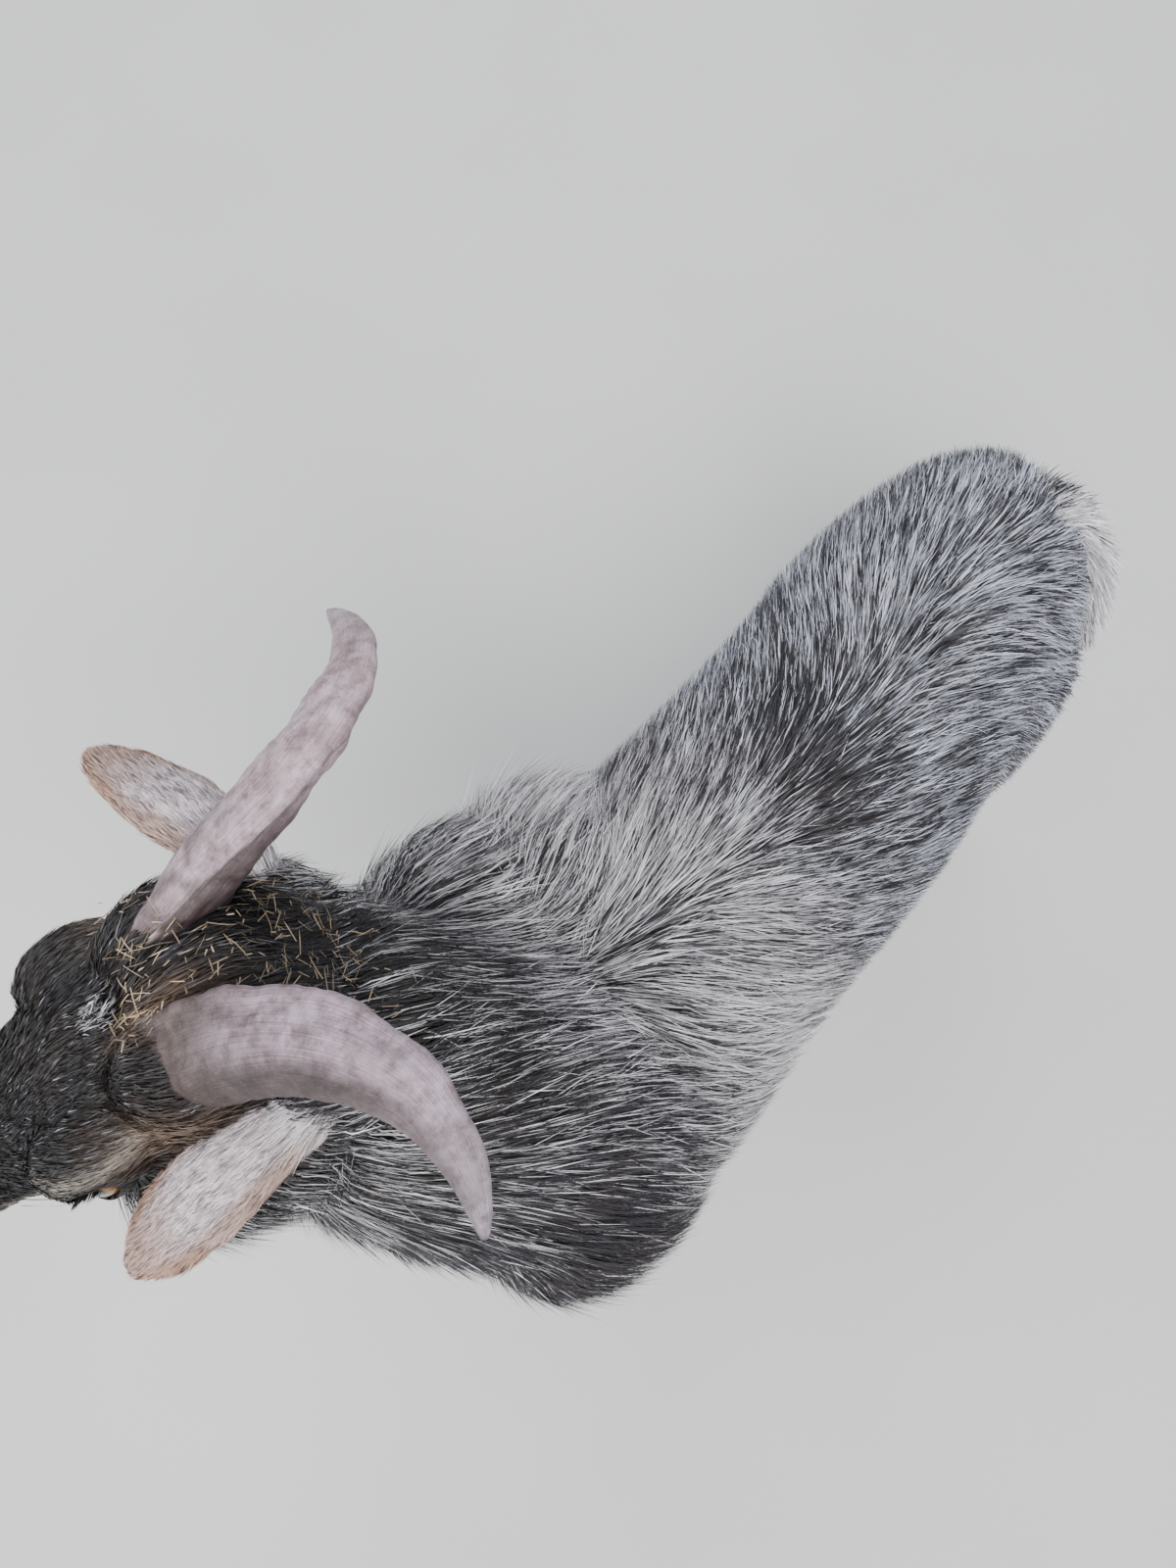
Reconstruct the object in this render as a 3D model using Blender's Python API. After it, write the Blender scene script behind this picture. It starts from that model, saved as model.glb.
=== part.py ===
# A dwarf goat as a still life-size model, standing, with its head turned to its right.
# Metres, +X to the front, +Y to the animal's left, +Z up.
import math
import random

import bmesh
import bpy
import numpy as np
from mathutils import Matrix, Vector
from mathutils.bvhtree import BVHTree

# General
GAP = 0.0003
SEED = 43
BODY_VOXEL = 0.0055
HEAD_VOXEL = 0.0024
BODY_FACES = 1700
LEG_FACES = 1150
HEAD_FACES = 1500
LOCK_COUNT = 132
LOCK_SPACING = 0.051
CORE_SHARE = 0.45
LOCKS = True

# Pose of the head: poll, turn, tilt down, roll and size of its own frame
POLL = (0.199, -0.099, 0.653)
HEAD_TURN = -20.0
HEAD_DOWN = 20.0
HEAD_ROLL = 15.0
HEAD_SCALE = 1.04

# Trunk, rear to front: x, y, height of greatest width, half width, up, down
TRUNK = (
    (-0.405, -0.030, 0.400, 0.030, 0.030, 0.040),
    (-0.388, -0.031, 0.395, 0.047, 0.050, 0.068),
    (-0.350, -0.030, 0.385, 0.065, 0.080, 0.098),
    (-0.300, -0.022, 0.370, 0.077, 0.103, 0.120),
    (-0.250, -0.012, 0.345, 0.085, 0.117, 0.120),
    (-0.180, -0.001, 0.325, 0.092, 0.131, 0.111),
    (-0.110, 0.005, 0.325, 0.094, 0.132, 0.104),
    (-0.040, 0.010, 0.330, 0.092, 0.138, 0.098),
    (0.020, 0.016, 0.335, 0.092, 0.140, 0.095),
    (0.075, 0.026, 0.335, 0.090, 0.120, 0.090),
    (0.120, 0.038, 0.342, 0.075, 0.088, 0.078),
    (0.150, 0.044, 0.350, 0.046, 0.052, 0.052),
)

# Neck, chest to skull: centre, half width, towards the crest, towards the throat
NECK = (
    (0.010, 0.012, 0.370, 0.085, 0.090, 0.095),
    (0.070, 0.022, 0.405, 0.088, 0.072, 0.100),
    (0.112, 0.012, 0.450, 0.077, 0.060, 0.083),
    (0.138, -0.012, 0.500, 0.063, 0.054, 0.064),
    (0.155, -0.033, 0.550, 0.050, 0.047, 0.054),
    (0.164, -0.050, 0.592, 0.040, 0.043, 0.042),
    (0.174, -0.066, 0.620, 0.034, 0.030, 0.033),
)

# Legs, top to foot: x, y, z, half width, forward, backward
FORELEG = (
    (0.058, 0.060, 0.345, 0.036, 0.052, 0.056),
    (0.045, 0.070, 0.290, 0.031, 0.041, 0.047),
    (0.036, 0.074, 0.250, 0.024, 0.030, 0.034),
    (0.038, 0.074, 0.210, 0.0185, 0.022, 0.024),
    (0.042, 0.073, 0.170, 0.0150, 0.018, 0.018),
    (0.046, 0.072, 0.142, 0.0165, 0.018, 0.016),
    (0.046, 0.072, 0.122, 0.0158, 0.016, 0.0155),
    (0.044, 0.071, 0.100, 0.0118, 0.0118, 0.0122),
    (0.043, 0.071, 0.070, 0.0112, 0.0112, 0.0122),
    (0.044, 0.071, 0.053, 0.0146, 0.0136, 0.0156),
    (0.050, 0.071, 0.039, 0.0140, 0.0122, 0.0122),
    (0.055, 0.071, 0.030, 0.0135, 0.0120, 0.0110),
)
HINDLEG = (
    (-0.315, 0.050, 0.370, 0.034, 0.060, 0.060),
    (-0.300, 0.062, 0.310, 0.034, 0.058, 0.062),
    (-0.291, 0.069, 0.260, 0.029, 0.044, 0.050),
    (-0.310, 0.071, 0.220, 0.0225, 0.030, 0.034),
    (-0.343, 0.070, 0.187, 0.0165, 0.019, 0.022),
    (-0.368, 0.069, 0.162, 0.0150, 0.017, 0.020),
    (-0.372, 0.069, 0.138, 0.0138, 0.0155, 0.0165),
    (-0.367, 0.069, 0.110, 0.0118, 0.0125, 0.0135),
    (-0.362, 0.069, 0.076, 0.0115, 0.0120, 0.0130),
    (-0.360, 0.069, 0.056, 0.0148, 0.0140, 0.0160),
    (-0.353, 0.069, 0.041, 0.0140, 0.0122, 0.0125),
    (-0.347, 0.069, 0.031, 0.0135, 0.0120, 0.0110),
)

# Each leg: its form, move of its top, move of its foot (forward, to the left), side
LEGS = {
    "foreleg_left": (FORELEG, (0.052, 0.018), (0.066, 0.010), 1),
    "foreleg_right": (FORELEG, (-0.046, 0.000), (-0.052, 0.006), -1),
    "hindleg_left": (HINDLEG, (-0.006, -0.018), (-0.016, -0.016), 1),
    "hindleg_right": (HINDLEG, (0.002, -0.018), (0.028, -0.018), -1),
}
LEG_TOP = 0.345

# Round forms laid over the tubes: centre, radii, tilt about the cross axis in degrees
MUSCLES = (
    ((0.112, 0.084, 0.362), (0.058, 0.042, 0.098), 14.0),
    ((0.150, 0.072, 0.330), (0.034, 0.036, 0.050), 0.0),
    ((-0.002, -0.070, 0.372), (0.040, 0.033, 0.100), 14.0),
    ((0.045, -0.062, 0.320), (0.036, 0.032, 0.048), 0.0),
    ((0.040, -0.046, 0.432), (0.056, 0.034, 0.056), 0.0),
    ((0.082, -0.062, 0.468), (0.042, 0.038, 0.054), 20.0),
    ((-0.306, 0.018, 0.335), (0.078, 0.037, 0.112), -12.0),
    ((-0.300, -0.066, 0.335), (0.078, 0.038, 0.112), -12.0),
    ((-0.246, 0.052, 0.262), (0.030, 0.024, 0.046), -20.0),
    ((-0.236, -0.087, 0.262), (0.030, 0.024, 0.046), -20.0),
    ((-0.378, 0.006, 0.350), (0.030, 0.026, 0.060), 0.0),
    ((-0.376, -0.058, 0.350), (0.030, 0.026, 0.060), 0.0),
)
HOCK_POINT = ((-0.388, 0.069, 0.172), (0.012, 0.0085, 0.016), -25.0)

# Tail: centre, half width, outer side, inner side
TAIL = (
    (-0.360, -0.026, 0.438, 0.020, 0.014, 0.014),
    (-0.390, -0.019, 0.434, 0.020, 0.013, 0.013),
    (-0.411, 0.000, 0.410, 0.021, 0.012, 0.012),
    (-0.418, 0.020, 0.374, 0.020, 0.011, 0.011),
    (-0.417, 0.034, 0.340, 0.016, 0.009, 0.009),
    (-0.415, 0.042, 0.312, 0.006, 0.004, 0.004),
)

# Skull in the head's own frame: x, height of greatest width, half width, up, down, lower width share
SKULL = (
    (-0.058, -0.045, 0.026, 0.024, 0.030, 0.9),
    (-0.045, -0.040, 0.040, 0.034, 0.050, 0.9),
    (-0.020, -0.034, 0.050, 0.034, 0.066, 0.78),
    (0.010, -0.032, 0.051, 0.034, 0.070, 0.72),
    (0.040, -0.032, 0.048, 0.034, 0.062, 0.70),
    (0.070, -0.034, 0.039, 0.028, 0.056, 0.74),
    (0.100, -0.038, 0.033, 0.025, 0.048, 0.80),
    (0.128, -0.043, 0.0300, 0.023, 0.040, 0.84),
    (0.146, -0.048, 0.0290, 0.022, 0.034, 0.86),
    (0.159, -0.052, 0.0240, 0.018, 0.026, 0.86),
    (0.166, -0.054, 0.0130, 0.011, 0.015, 0.86),
)
EYE_CENTRE = (0.044, 0.0440, -0.026)
EYE_RADIUS = 0.0118
EYE_OUT = (0.22, 0.94, 0.26)
LID = 0.0022
ORBIT = ((0.040, 0.0375, -0.018), (0.030, 0.0185, 0.020))

# Horn, left one in the head's frame: path points of one cubic curve
HORN_PATH = ((-0.006, 0.027, -0.020), (-0.042, 0.038, 0.030), (-0.146, 0.058, 0.024), (-0.122, 0.131, -0.004))
HORN_RIGHT_MOVES = ((0.004, 0.0, 0.0), (-0.016, 0.0, 0.0), (-0.026, -0.010, 0.0), (0.0, 0.0, 0.0))
HORN_KEEL = (
    (0.0, (0.85, -0.50, 0.20)),
    (0.3, (0.05, -0.85, 0.50)),
    (0.5, (-0.35, -0.85, 0.40)),
    (0.75, (-0.85, -0.45, 0.30)),
    (1.0, (-0.95, -0.10, 0.20)),
)
HORN_SIZES = ((0.0, 0.0220, 0.0155), (0.3, 0.0188, 0.0132), (0.6, 0.0165, 0.0106), (0.8, 0.0112, 0.0080),
              (0.92, 0.0066, 0.0054), (0.98, 0.0034, 0.0030), (1.0, 0.0012, 0.0011))

# Ears in the head's frame: base, direction, direction the cup faces
EAR_LEFT = ((-0.050, 0.049, -0.046), (0.94, 0.33, 0.12), (0.28, -0.05, -0.92))
EAR_RIGHT = ((-0.042, -0.041, -0.038), (0.45, -0.89, 0.42), (0.72, 0.24, -0.65))
EAR_ROOTS = ((-0.044, 0.043, -0.044), (-0.038, -0.035, -0.042))
EAR_LENGTH = 0.103
EAR_WALL = 0.0026
EAR_WIDTHS = ((0.0, 0.0110), (0.12, 0.0125), (0.3, 0.0165), (0.55, 0.0200), (0.8, 0.0165), (0.93, 0.0100), (1.0, 0.003))

# Claws of a front foot, relative to the foot's own point on the floor
CLAW_SOLE = (-0.020, 0.028, 0.0082)
CLAW_TOP = (-0.015, 0.014, 0.0074)
CLAW_SIDE = 0.0092
CORONET = 0.0250
CORONET_RISE = 0.30
FOOT_CENTRES = {"foreleg": (0.060, 0.071), "hindleg": (-0.341, 0.069)}

COLOURS = {
    "coat": (0.05, 0.055, 0.065, 1.0),
    "horn": (0.30, 0.27, 0.24, 1.0),
    "hoof": (0.05, 0.045, 0.04, 1.0),
    "eye": (0.30, 0.16, 0.04, 1.0),
    "ear": (0.35, 0.32, 0.30, 1.0),
}


# Curves and meshes

def clear_scene():
    for obj in list(bpy.data.objects):
        bpy.data.objects.remove(obj)


def spline(keys, count):
    """Points of a smooth curve through the rows of keys"""
    keys = np.asarray(keys, float)
    padded = np.vstack([2 * keys[0] - keys[1], keys, 2 * keys[-1] - keys[-2]])
    rows = []
    for value in np.linspace(0, len(keys) - 1 - 1e-9, count):
        start = int(value)
        t = value - start
        a, b, c, d = padded[start:start + 4]
        rows.append(0.5 * (2 * b + (c - a) * t + (2 * a - 5 * b + 4 * c - d) * t * t
                           + (3 * b - a - 3 * c + d) * t ** 3))
    return np.array(rows)


def lerp_rows(table, value):
    """One row of a table of (position, values), between its entries"""
    xs = [row[0] for row in table]
    columns = np.array([np.ravel(row[1:]) for row in table], float)
    return np.array([np.interp(value, xs, column) for column in columns.T])


def unit(vector):
    vector = np.asarray(vector, float)
    return vector / np.linalg.norm(vector)


def signed_power(value, power):
    return math.copysign(abs(value) ** power, value)


def ring(centre, side, up, width, above, below, count, power=0.9, low_share=1.0):
    """Points round one cross section; the lower half may be narrower"""
    points = []
    for index in range(count):
        angle = 2 * math.pi * index / count
        across = signed_power(math.cos(angle), power)
        rise = signed_power(math.sin(angle), power)
        share = 1.0
        if rise < 0:
            share = 1.0 + (low_share - 1.0) * min(1.0, -rise * 1.4)
        height = above if rise > 0 else below
        points.append(centre + side * across * width * share + up * rise * height)
    return np.array(points)


def mesh_object(name, points, faces):
    mesh = bpy.data.meshes.new(name)
    mesh.from_pydata([tuple(map(float, point)) for point in points], [], faces)
    mesh.update()
    obj = bpy.data.objects.new(name, mesh)
    bpy.context.scene.collection.objects.link(obj)
    return obj


def loft(name, rings):
    """A closed body through rings of points, with a fan at each end"""
    count = len(rings[0])
    points = [point for row in rings for point in row]
    faces = []
    for row in range(len(rings) - 1):
        for index in range(count):
            nxt = (index + 1) % count
            a = row * count + index
            b = row * count + nxt
            faces.append((a, b, b + count, a + count))
    points.append(rings[0].mean(axis=0))
    points.append(rings[-1].mean(axis=0))
    first = len(points) - 2
    last = (len(rings) - 1) * count
    for index in range(count):
        nxt = (index + 1) % count
        faces.append((first, nxt, index))
        faces.append((first + 1, last + index, last + nxt))
    obj = mesh_object(name, points, faces)
    fix_normals(obj)
    return obj


def fix_normals(obj):
    work = bmesh.new()
    work.from_mesh(obj.data)
    bmesh.ops.recalc_face_normals(work, faces=work.faces)
    if work.calc_volume(signed=True) < 0:
        bmesh.ops.reverse_faces(work, faces=work.faces)
    work.to_mesh(obj.data)
    work.free()


def tube(name, keys, count, sides, side=(0, 1, 0), power=0.9):
    """A tube along centres, with a half width, an upper and a lower depth at each"""
    rows = spline(keys, count)
    centres = rows[:, :3]
    tangents = np.gradient(centres, axis=0)
    rings = []
    for row, tangent in zip(rows, tangents):
        tangent = unit(tangent)
        across = unit(np.asarray(side, float) - tangent * np.dot(side, tangent))
        up = np.cross(tangent, across)
        rings.append(ring(row[:3], across, up, row[3], row[4], row[5], sides, power))
    return loft(name, rings)


def ball(name, centre, radii, tilt=0.0, segments=24, rings=14):
    work = bmesh.new()
    bmesh.ops.create_uvsphere(work, u_segments=segments, v_segments=rings, radius=1.0)
    place = Matrix.Translation(centre) @ Matrix.Rotation(math.radians(tilt), 4, "Y")
    bmesh.ops.transform(work, matrix=place @ Matrix.Diagonal((*radii, 1.0)), verts=work.verts)
    mesh = bpy.data.meshes.new(name)
    work.to_mesh(mesh)
    work.free()
    obj = bpy.data.objects.new(name, mesh)
    bpy.context.scene.collection.objects.link(obj)
    return obj


def transform(obj, matrix):
    obj.data.transform(matrix)
    obj.data.update()
    return obj


def leg_place(name, point):
    """A point of the plain left leg, moved to where this leg has it"""
    _, top, foot, side = LEGS[name]
    x, y, z = point
    share = min(1.0, z / LEG_TOP)
    forward = foot[0] + (top[0] - foot[0]) * share
    left = foot[1] + (top[1] - foot[1]) * share
    return (x + forward, y * side + left, z)


def leg_keys(name):
    return [(*leg_place(name, row[:3]), *row[3:]) for row in LEGS[name][0]]


def foot_centre(name):
    x, y = FOOT_CENTRES[name.split("_")[0]]
    place = leg_place(name, (x, y, 0.0))
    return place[0], place[1]


def join(name, objects):
    """One object that holds the surfaces of all"""
    work = bmesh.new()
    for obj in objects:
        work.from_mesh(obj.data)
    mesh = bpy.data.meshes.new(name)
    work.to_mesh(mesh)
    work.free()
    for obj in objects:
        bpy.data.objects.remove(obj)
    out = bpy.data.objects.new(name, mesh)
    bpy.context.scene.collection.objects.link(out)
    return out


def settle(obj):
    """Puts the result of the modifiers in the mesh"""
    bpy.context.view_layer.update()
    depsgraph = bpy.context.evaluated_depsgraph_get()
    mesh = bpy.data.meshes.new_from_object(obj.evaluated_get(depsgraph))
    obj.modifiers.clear()
    obj.data = mesh
    return obj


def remesh(obj, voxel):
    modifier = obj.modifiers.new("skin", "REMESH")
    modifier.mode = "VOXEL"
    modifier.voxel_size = voxel
    return settle(obj)


def points_of(obj):
    data = np.empty(len(obj.data.vertices) * 3)
    obj.data.vertices.foreach_get("co", data)
    return data.reshape(-1, 3)


def set_points(obj, points):
    obj.data.vertices.foreach_set("co", np.asarray(points, float).ravel())
    obj.data.update()


def relax(obj, rounds, weights=None):
    """Moves each point towards the mean of its neighbours, then part of the way back"""
    count = len(obj.data.vertices)
    edges = np.empty(len(obj.data.edges) * 2, int)
    obj.data.edges.foreach_get("vertices", edges)
    edges = edges.reshape(-1, 2)
    degree = np.bincount(edges.ravel(), minlength=count).astype(float)
    points = points_of(obj)
    share = np.ones(count) if weights is None else weights
    for _ in range(rounds):
        for factor in (0.55, -0.5):
            total = np.zeros_like(points)
            np.add.at(total, edges[:, 0], points[edges[:, 1]])
            np.add.at(total, edges[:, 1], points[edges[:, 0]])
            points = points + (total / degree[:, None] - points) * (factor * share[:, None])
    set_points(obj, points)


def thin_out(obj, faces):
    """Fewer triangles"""
    modifier = obj.modifiers.new("thin", "DECIMATE")
    obj.data.calc_loop_triangles()
    modifier.ratio = min(1.0, faces / len(obj.data.loop_triangles))
    modifier.use_collapse_triangulate = True
    return settle(obj)


def triangulate(obj):
    work = bmesh.new()
    work.from_mesh(obj.data)
    bmesh.ops.triangulate(work, faces=work.faces)
    work.to_mesh(obj.data)
    work.free()


def boolean(obj, operation, other=None, collection=None, solver="EXACT"):
    modifier = obj.modifiers.new("cut", "BOOLEAN")
    modifier.operation = operation
    modifier.solver = solver
    if collection is not None:
        modifier.operand_type = "COLLECTION"
        modifier.collection = collection
    else:
        modifier.object = other
    settle(obj)
    if other is not None:
        bpy.data.objects.remove(other)
    return obj


def islands(work):
    """Groups of faces that hang together"""
    seen = set()
    groups = []
    for face in work.faces:
        if face in seen:
            continue
        group = []
        stack = [face]
        seen.add(face)
        while stack:
            item = stack.pop()
            group.append(item)
            for edge in item.edges:
                for other in edge.link_faces:
                    if other not in seen:
                        seen.add(other)
                        stack.append(other)
        groups.append(group)
    return groups


def keep_largest(obj):
    work = bmesh.new()
    work.from_mesh(obj.data)
    bmesh.ops.remove_doubles(work, verts=work.verts, dist=0.00001)
    bmesh.ops.dissolve_degenerate(work, edges=work.edges, dist=0.00001)
    bmesh.ops.triangulate(work, faces=work.faces)
    groups = islands(work)
    groups.sort(key=len, reverse=True)
    extra = [face for group in groups[1:] for face in group]
    if extra:
        bmesh.ops.delete(work, geom=extra, context="FACES")
    loose = [vert for vert in work.verts if not vert.link_faces]
    bmesh.ops.delete(work, geom=loose, context="VERTS")
    work.to_mesh(obj.data)
    work.free()


def cut_plane(obj, point, normal):
    """Keeps the side of the plane that the normal points away from and closes it"""
    work = bmesh.new()
    work.from_mesh(obj.data)
    geom = work.verts[:] + work.edges[:] + work.faces[:]
    done = bmesh.ops.bisect_plane(work, geom=geom, dist=1e-6, plane_co=Vector(point),
                                  plane_no=Vector(normal), clear_outer=True)
    edges = [item for item in done["geom_cut"] if isinstance(item, bmesh.types.BMEdge)]
    bmesh.ops.holes_fill(work, edges=edges, sides=0)
    bmesh.ops.triangulate(work, faces=work.faces)
    bmesh.ops.recalc_face_normals(work, faces=work.faces)
    work.to_mesh(obj.data)
    work.free()
    return obj


def slice_off(obj, point, normal, reach=0.9):
    """Keeps the side of the plane that the normal points away from, by a Boolean with a box"""
    normal = Vector(normal).normalized()
    side = normal.orthogonal().normalized()
    other = normal.cross(side)
    low = Vector(point)
    corners = []
    for height in (0.0, reach):
        for a, b in ((-1, -1), (1, -1), (1, 1), (-1, 1)):
            corners.append(low + side * a * reach + other * b * reach + normal * height)
    faces = [(0, 3, 2, 1), (4, 5, 6, 7), (0, 1, 5, 4), (1, 2, 6, 5), (2, 3, 7, 6), (3, 0, 4, 7)]
    box = mesh_object("slab", corners, faces)
    triangulate(box)
    fix_normals(box)
    boolean(obj, "DIFFERENCE", box, solver="MANIFOLD")
    return obj


def copy_of(obj, name):
    out = bpy.data.objects.new(name, obj.data.copy())
    bpy.context.scene.collection.objects.link(out)
    return out


def region(name, corner_low, corner_high, top=None, push=0.0):
    """A box, with its top face on the plane through a point with a slope in x and y"""
    x0, y0, z0 = corner_low
    x1, y1, z1 = corner_high
    heights = []
    for x, y in ((x0, y0), (x1, y0), (x1, y1), (x0, y1)):
        height = z1
        if top is not None:
            (px, py, pz), slope_x, slope_y = top
            height = pz + (x - px) * slope_x + (y - py) * slope_y + push
        heights.append(height)
    points = [(x0, y0, z0), (x1, y0, z0), (x1, y1, z0), (x0, y1, z0),
              (x0, y0, heights[0]), (x1, y0, heights[1]), (x1, y1, heights[2]), (x0, y1, heights[3])]
    faces = [(0, 1, 2, 3), (4, 5, 6, 7), (0, 1, 5, 4), (1, 2, 6, 5), (2, 3, 7, 6), (3, 0, 4, 7)]
    obj = mesh_object(name, points, faces)
    triangulate(obj)
    fix_normals(obj)
    return obj


def blend(value, low, high):
    """0 below low, 1 above high, smooth between"""
    t = np.clip((value - low) / (high - low), 0.0, 1.0)
    return t * t * (3 - 2 * t)


# Forms of the animal

def head_matrix():
    turn = Matrix.Rotation(math.radians(HEAD_TURN), 4, "Z")
    down = Matrix.Rotation(math.radians(HEAD_DOWN), 4, "Y")
    roll = Matrix.Rotation(math.radians(HEAD_ROLL), 4, "X")
    return Matrix.Translation(POLL) @ turn @ down @ roll @ Matrix.Scale(HEAD_SCALE, 4)


def coat_depth(points):
    """How far the coat stands off the skin at points of the body"""
    x, z = points[:, 0], points[:, 2]
    depth = 0.004 + 0.006 * blend(z, 0.12, 0.20) + 0.010 * blend(z, 0.20, 0.29)
    front = blend(x, -0.10, 0.06) * blend(z, 0.27, 0.36)
    return depth + 0.010 * front


def body_parts(with_neck=True):
    """Overlapping closed tubes and round forms of trunk, neck and legs"""
    parts = [tube("trunk", [(k[0], k[1], k[2], k[3], k[4], k[5]) for k in TRUNK], 60, 32)]
    parts.append(tube("neck", NECK, 40, 28))
    for centre, radii, tilt in MUSCLES:
        parts.append(ball("form", centre, radii, tilt))
    for name in LEGS:
        parts.append(tube(name, leg_keys(name), 60, 16))
        x, y = foot_centre(name)
        for claw in (1, -1):
            lean = y + claw * 0.0070
            low = y + claw * CLAW_SIDE
            keys = ((x - 0.014, lean, 0.046, 0.0088, 0.0110, 0.0120),
                    (x - 0.008, lean, 0.036, 0.0086, 0.0115, 0.0125),
                    (x - 0.001, low, 0.024, 0.0078, 0.0130, 0.0135),
                    (x + 0.002, low, 0.014, 0.0070, 0.0110, 0.0120))
            parts.append(tube("digit", keys, 10, 12))
            dew = (x - 0.029, y + claw * 0.0078, 0.047)
            parts.append(ball("dew", dew, (0.0058, 0.0046, 0.0080), 25.0, 12, 8))
        if name.startswith("hind"):
            centre, radii, tilt = HOCK_POINT
            parts.append(ball("hock", leg_place(name, centre), radii, tilt))
    return parts


def body_skin(voxel, rounds):
    obj = join("body", body_parts())
    remesh(obj, voxel)
    height = points_of(obj)[:, 2]
    relax(obj, rounds, 0.12 + 0.88 * blend(height, 0.10, 0.26))
    return obj


def vertex_normals(obj):
    return np.array([vertex.normal[:] for vertex in obj.data.vertices])


def build_body(obj):
    """The body without its lower legs' detail, and the lower legs on their own"""
    points = points_of(obj)
    depth = coat_depth(points)
    share = 1.0 + (CORE_SHARE - 1.0) * blend(points[:, 2], 0.14, 0.24)
    set_points(obj, points + vertex_normals(obj) * (depth * share)[:, None])
    remesh(obj, BODY_VOXEL)
    relax(obj, 3)
    legs = copy_of(obj, "lower_legs")
    cut_plane(legs, (0.0, 0.0, 0.185), (0.0, 0.0, 1.0))
    thin_out(legs, LEG_FACES)
    cut_plane(obj, (0.0, 0.0, 0.10), (0.0, 0.0, -1.0))
    thin_out(obj, BODY_FACES)
    return obj, legs


def skull_parts():
    rows = spline(SKULL, 44)
    side = np.array((0.0, 1.0, 0.0))
    up = np.array((0.0, 0.0, 1.0))
    rings = []
    for row in rows:
        centre = np.array((row[0], 0.0, row[1]))
        rings.append(ring(centre, side, up, row[2], row[3], row[4], 32, 0.88, row[5]))
    parts = [loft("skull", rings)]
    for sign in (1, -1):
        centre, radii = ORBIT
        parts.append(ball("orbit", (centre[0], centre[1] * sign, centre[2]), radii))
        parts.append(ball("cheek", (0.008, 0.037 * sign, -0.060), (0.048, 0.029, 0.038), 12.0))
        parts.append(ball("jaw", (0.028, 0.036 * sign, -0.077), (0.038, 0.024, 0.025), 12.0))
        parts.append(ball("ear_root", EAR_ROOTS[0 if sign > 0 else 1], (0.016, 0.016, 0.018)))
        parts.append(ball("horn_root", (-0.010, 0.026 * sign, -0.010), (0.028, 0.020, 0.020)))
        parts.append(ball("nostril", (0.161, 0.0125 * sign, -0.043), (0.011, 0.0095, 0.0090)))
        parts.append(ball("upper_lip", (0.155, 0.0135 * sign, -0.060), (0.017, 0.0125, 0.0110)))
    parts.append(ball("chin", (0.146, 0.0, -0.076), (0.020, 0.0185, 0.0115), 8.0))
    parts.append(ball("crown", (-0.020, 0.0, -0.012), (0.034, 0.034, 0.020)))
    return parts


def build_skull(body_skin_object):
    """The skull with the top of the neck, in the head's own frame"""
    neck = copy_of(body_skin_object, "neck_top")
    cut_plane(neck, (0.13, 0.0, 0.46), (-0.5, 0.0, -0.85))
    transform(neck, head_matrix().inverted())
    obj = join("head", skull_parts() + [neck])
    remesh(obj, HEAD_VOXEL)
    relax(obj, 12)
    points = points_of(obj)
    spot, normal = shifted(HEAD_PLANE, 0.0)
    toward_neck = (points - spot) @ normal
    neck_coat = 0.028 * CORE_SHARE / HEAD_SCALE
    grow = 0.002 + (neck_coat - 0.002) * blend(toward_neck, -0.022, 0.0)
    set_points(obj, points + vertex_normals(obj) * grow[:, None])
    remesh(obj, HEAD_VOXEL)
    relax(obj, 2)
    return obj


def eye_direction(sign):
    return unit((EYE_OUT[0], EYE_OUT[1] * sign, EYE_OUT[2]))


def eye_place(sign):
    return np.array((EYE_CENTRE[0], EYE_CENTRE[1] * sign, EYE_CENTRE[2]))


def lid_opening(name, sign):
    """An almond-shaped cutter in front of an eye"""
    out = eye_direction(sign)
    along = unit(np.array((1.0, 0.0, -0.30)) - out * np.dot((1.0, 0.0, -0.30), out))
    up = np.cross(out, along) * (-sign)
    rings = []
    for reach, grow in ((0.2, 0.86), (1.0, 1.0), (2.4, 1.25)):
        points = []
        for index in range(20):
            angle = 2 * math.pi * index / 20
            across = math.cos(angle) * EYE_RADIUS * 1.02
            rise = math.sin(angle) * EYE_RADIUS * 0.62 * (1.0 - 0.30 * abs(math.cos(angle)) ** 2)
            points.append(eye_place(sign) + out * EYE_RADIUS * reach + (along * across + up * rise) * grow)
        rings.append(np.array(points))
    return loft(name, rings)


def surface_path(tree, targets, sink):
    """Points on the surface where lines from the middle to each target leave it"""
    path = []
    for origin, target in targets:
        direction = Vector(target) - Vector(origin)
        hit, normal, _, _ = tree.ray_cast(Vector(origin), direction.normalized())
        path.append((np.array(hit) - np.array(normal) * sink, np.array(normal)))
    return path


def groove(name, path, half_open, depth):
    """A thin wedge along a path of points with normals"""
    rings = []
    points = np.array([item[0] for item in path])
    tangents = np.gradient(points, axis=0)
    last = len(path) - 1
    for index, ((point, normal), tangent) in enumerate(zip(path, tangents)):
        tangent = unit(tangent)
        normal = unit(normal - tangent * np.dot(normal, tangent))
        across = np.cross(tangent, normal)
        end = 0.35 if index in (0, last) else 1.0
        rings.append(np.array([
            point - normal * depth * end,
            point + across * half_open * 0.7 * end,
            point + normal * depth + across * half_open * 1.5,
            point + normal * depth - across * half_open * 1.5,
            point - across * half_open * 0.7 * end,
        ]))
    return loft(name, rings)


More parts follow.
